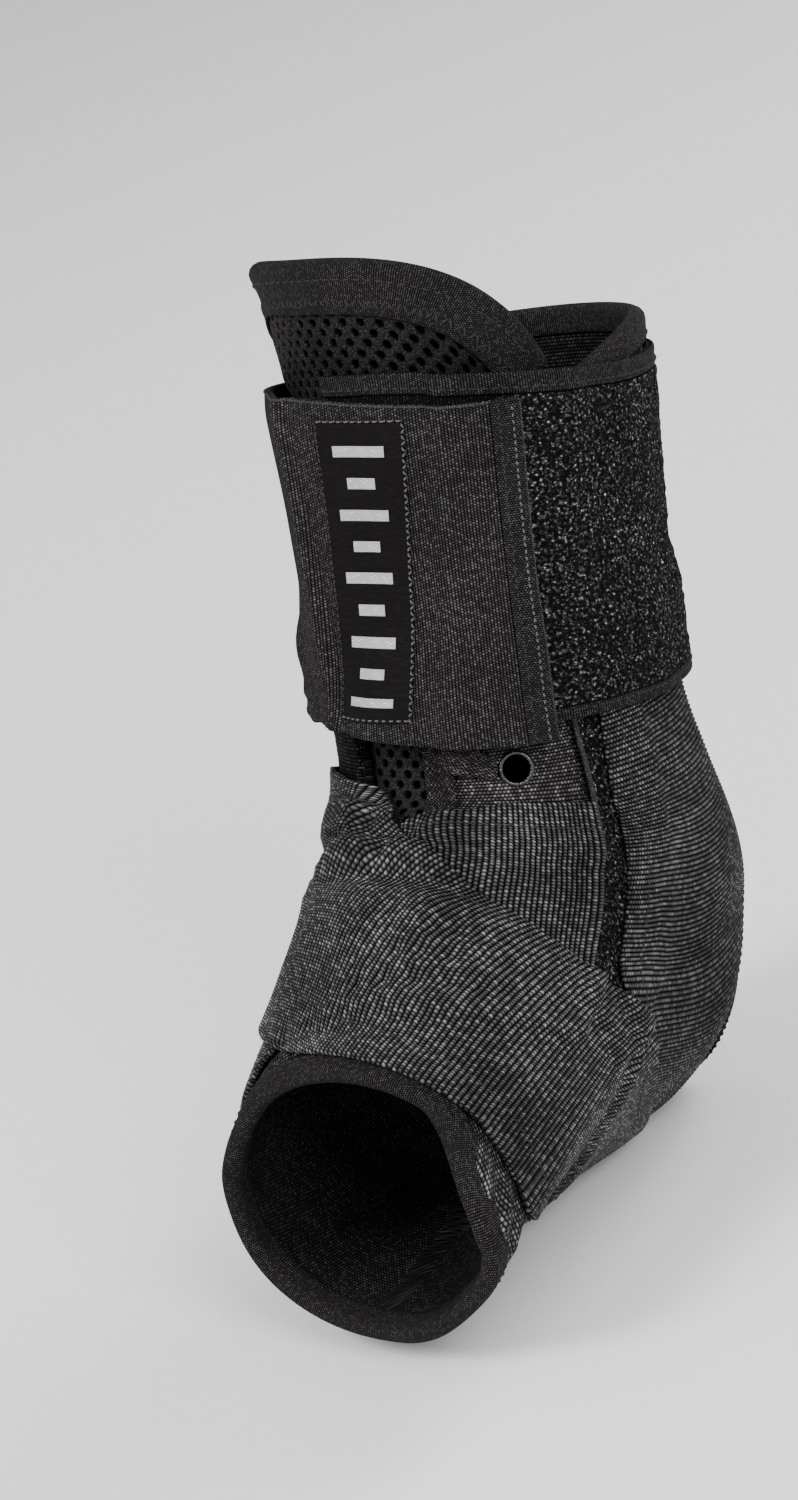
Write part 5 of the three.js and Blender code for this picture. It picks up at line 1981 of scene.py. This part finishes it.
    def elastic_wing(self) -> None:
        """The over wing: fine wales up and down the cloth, a hem at its end and a label on its front."""
        shop = self.shop
        start, end = self.back_gap - BACK, self.elastic_end
        downs = stations(self.elastic_height, 2.0, 0.8) / self.elastic_height
        rise, turn = self.wing_grid(start, end, ELASTIC.along / 1.5, downs, self.elastic_top,
                                    self.elastic_bottom)
        cloth = cloth_map(shop.form, rise, turn)
        wales = -self.wale_height * np.cos(2.0 * math.pi * cloth[..., 1] / (3.0 * ELASTIC.along))
        lift = fold_heights(shop.form, self.elastic_folds, rise, turn)
        base = shop.layers.height(rise, turn, BRIDGING) + lift
        wing = shop.sheet("cuff_elastic_cloth", rise, turn, base, shop.walls.elastic, ELASTIC,
                          ("cuff_elastic_wing",), wales)
        turn = np.linspace(start + 0.8, end - 0.8, 500)
        rise = self.elastic_top(turn) + self.edge_line * shop.form.rise_per_mm()
        shop.cord("cuff_elastic_edge_line", rise, turn, self.over_elastic(rise, turn), self.edge_line,
                  PIPING)
        self.end_hem(end)
        self.label()

    def over_elastic(self, rise: Array, turn: Array) -> Array:
        """Height of the elastic wing's outer face."""
        lift = fold_heights(self.shop.form, self.elastic_folds, rise, turn)
        return self.shop.layers.height(rise, turn, BRIDGING) + lift + self.shop.walls.elastic

    def end_hem(self, end: float) -> None:
        """The hem across the elastic wing's end, with two lines of stitches.

        Args:
            end: turn of the wing's end.
        """
        shop = self.shop
        degree = float(np.linalg.norm(shop.form.slopes(np.array(3.0), np.array(end))[1]))
        downs = stations(self.hem_height, 0.8, 0.5) / self.hem_height
        turns = end - (self.hem - stations(self.hem, 0.5, 0.4)) / degree
        down, turn = np.meshgrid(downs, turns, indexing="ij")
        rise = self.elastic_rise(down, turn)
        base = self.over_elastic(rise, turn) + self.seat_lift
        shop.sheet("cuff_hem_tape", rise, turn, base, shop.walls.hem, TAPE, ("cuff_end_hem",))
        down = np.linspace(0.004, 0.996, 260)
        turn = np.full_like(down, end + 0.2)
        rise = self.elastic_rise(down, turn)
        shop.cord("cuff_hem_edge_line", rise, turn, self.over_elastic(rise, turn), self.edge_line, PIPING)
        for number, (share, finish) in enumerate(((0.28, BRIGHT_THREAD), (0.74, THREAD)), 1):
            down = np.linspace(0.015, 0.985, 200)
            turn = np.full_like(down, end - share * self.hem / degree)
            rise = self.elastic_rise(down, turn)
            lift = self.over_elastic(rise, turn) + self.seat_lift + shop.walls.hem
            self.binder.stitches(f"cuff_hem_stitches_{number}", rise, turn, lift, finish, 1.5, 0.22)

    def label(self) -> None:
        """The sewn patch, its light border of stitches and a plain row of woven gauge marks."""
        shop = self.shop
        rise, turn = route_grid(shop.form, self.label_rows, 0.5, 0.5, 0.4)
        base = self.over_elastic(rise, turn) + self.label_lift
        shop.sheet("label_satin_patch", rise, turn, base, shop.walls.label, SATIN, ("label_patch",))
        along = np.linspace(0.0, 1.0, 120)
        across = np.linspace(0.0, 1.0, 50)
        borders = (("top", np.full_like(across, -0.006), across, 1.9, 0.0, BRIGHT_THREAD),
                   ("bottom", np.full_like(across, 0.985), across, 1.9, 0.0, BRIGHT_THREAD),
                   ("inner", along, np.full_like(along, 1.0), 1.3, 0.45, BRIGHT_THREAD),
                   ("outer", along, np.full_like(along, 0.02), 1.5, 0.3, THREAD))
        for name, down, side, pitch, swing, finish in borders:
            rise, turn = between_sides(read_table(self.label_rows, down), side)
            lift = self.over_elastic(rise, turn) + self.label_lift + shop.walls.label
            self.binder.stitches(f"label_{name}_stitches", rise, turn, lift, finish, pitch, swing)
        self.gauge_marks()

    def gauge_marks(self) -> None:
        """Plain woven marks down the label: bars of two lengths in turn, a little proud of the satin."""
        shop = self.shop
        tall = stations(self.mark_height, 0.5, 0.3) - self.mark_height / 2.0
        for mark in range(self.mark_count):
            down = mix(*self.mark_shares, mark / (self.mark_count - 1)) + tall / self.label_length
            reach = self.mark_reaches[mark % 2]
            side = 0.5 - reach + stations(2.0 * reach * self.label_width, 0.6, 0.3) / self.label_width
            rise, turn = between_sides(read_table(self.label_rows, down)[:, None], side[None])
            base = self.over_elastic(rise, turn) + self.label_lift + shop.walls.label + self.mark_lift
            shop.sheet(f"label_mark_{mark + 1}", rise, turn, base, self.mark_wall, LABEL_YARN)


@dataclass(frozen=True)
class Lamp:
    """A soft rectangular studio light, aimed at the middle of the brace."""

    name: str
    place: tuple[float, float, float]
    width: float
    power: float


@dataclass
class Studio:
    """The pale floor, the soft lights and the camera at the photograph's angle."""

    dyer: Dyer
    azimuth: float = 40.0
    elevation: float = 19.5
    roll: float = -16.0
    place: tuple[float, float, float] = (0.570, -0.713, 0.423)
    lens: float = 102.0
    sensor: float = 36.0
    floor_half: float = 8.0
    surround: float = 0.7
    clearance: float = 0.0002
    target: tuple[float, float, float] = (0.0, -0.02, 0.11)
    lamps: tuple[Lamp, ...] = (
        Lamp("key light", (-0.55, -1.35, 1.35), 0.7, 34.0),
        Lamp("fill light", (1.35, -0.75, 0.95), 0.7, 26.0),
        Lamp("back light", (0.5, 1.4, 1.3), 0.9, 24.0),
    )

    def build(self, lowest: float) -> None:
        """Makes the floor under the lowest point, the lights, the surrounding light and the camera.

        Args:
            lowest: height of the brace's lowest point, in metres.
        """
        self.floor(lowest)
        for lamp in self.lamps:
            self.light(lamp)
        self.surroundings()
        self.camera()

    def floor(self, lowest: float) -> None:
        """A wide flat floor at the brace's lowest point, in metres.

        Args:
            lowest: height of the brace's lowest point, in metres.
        """
        reach = self.floor_half
        corners = [(-reach, -reach), (reach, -reach), (reach, reach), (-reach, reach)]
        mesh = bpy.data.meshes.new("studio_floor")
        mesh.from_pydata([(x, y, lowest - self.clearance) for x, y in corners], [], [(0, 1, 2, 3)])
        mesh.materials.append(self.dyer.material(FLOOR))
        placed("studio_floor", mesh)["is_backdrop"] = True

    def light(self, lamp: Lamp) -> None:
        """One area light, turned to the target.

        Args:
            lamp: the light to make.
        """
        data = bpy.data.lights.new(lamp.name, "AREA")
        data.size = lamp.width
        data.energy = lamp.power
        place = np.array(lamp.place)
        back = unit(place - np.array(self.target))
        right = unit(np.cross([0.0, 0.0, 1.0], back))
        placed(lamp.name, data).matrix_world = frame_matrix(right, np.cross(back, right), back, place)

    def surroundings(self) -> None:
        """Even white light from all around."""
        world = bpy.data.worlds.new("studio world")
        world.use_nodes = True
        background = world.node_tree.nodes["Background"]
        background.inputs["Color"].default_value = (1.0, 1.0, 1.0, 1.0)
        background.inputs["Strength"].default_value = self.surround
        bpy.context.scene.world = world

    def camera(self) -> None:
        """The camera: turned by azimuth and elevation, then rolled about its own axis."""
        azimuth, elevation, roll = (math.radians(value)
                                    for value in (self.azimuth, self.elevation, self.roll))
        back = np.array([math.sin(azimuth) * math.cos(elevation),
                         -math.cos(azimuth) * math.cos(elevation), math.sin(elevation)])
        right = np.array([math.cos(azimuth), math.sin(azimuth), 0.0])
        up = np.cross(back, right)
        rolled_right = math.cos(roll) * right + math.sin(roll) * up
        rolled_up = -math.sin(roll) * right + math.cos(roll) * up
        data = bpy.data.cameras.new("photo camera")
        data.lens = self.lens
        data.sensor_width = self.sensor
        made = placed("photo camera", data)
        made.matrix_world = frame_matrix(rolled_right, rolled_up, back, np.array(self.place))
        bpy.context.scene.camera = made


def frame_matrix(right: Array, up: Array, back: Array, place: Array) -> Matrix:
    """A 4 by 4 matrix whose columns are three directions and a place."""
    matrix = np.eye(4)
    matrix[:3] = np.stack([right, up, back, place], axis=-1)
    return Matrix(matrix.tolist())


def main() -> None:
    """Builds the brace from the inside out, then the studio round it."""
    logging.basicConfig(level=logging.INFO, format="%(name)s: %(message)s")
    form, walls = Form(), Walls()
    outline = Outline(walls)
    dyer = Dyer()
    dyer.prepare()
    shop = Workshop(form, walls, outline, Layers(form, outline), dyer)
    binder = Binder(shop)
    strips = LoopStrips(shop)
    Tongue(shop, binder).build()
    Boot(shop, binder).build()
    Lacing(shop).build(strips)
    strips.build()
    Straps(shop, binder).build()
    Cuff(shop, binder).build()
    Studio(dyer).build(float(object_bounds()[0][2]))


if __name__ == "__main__":
    main()
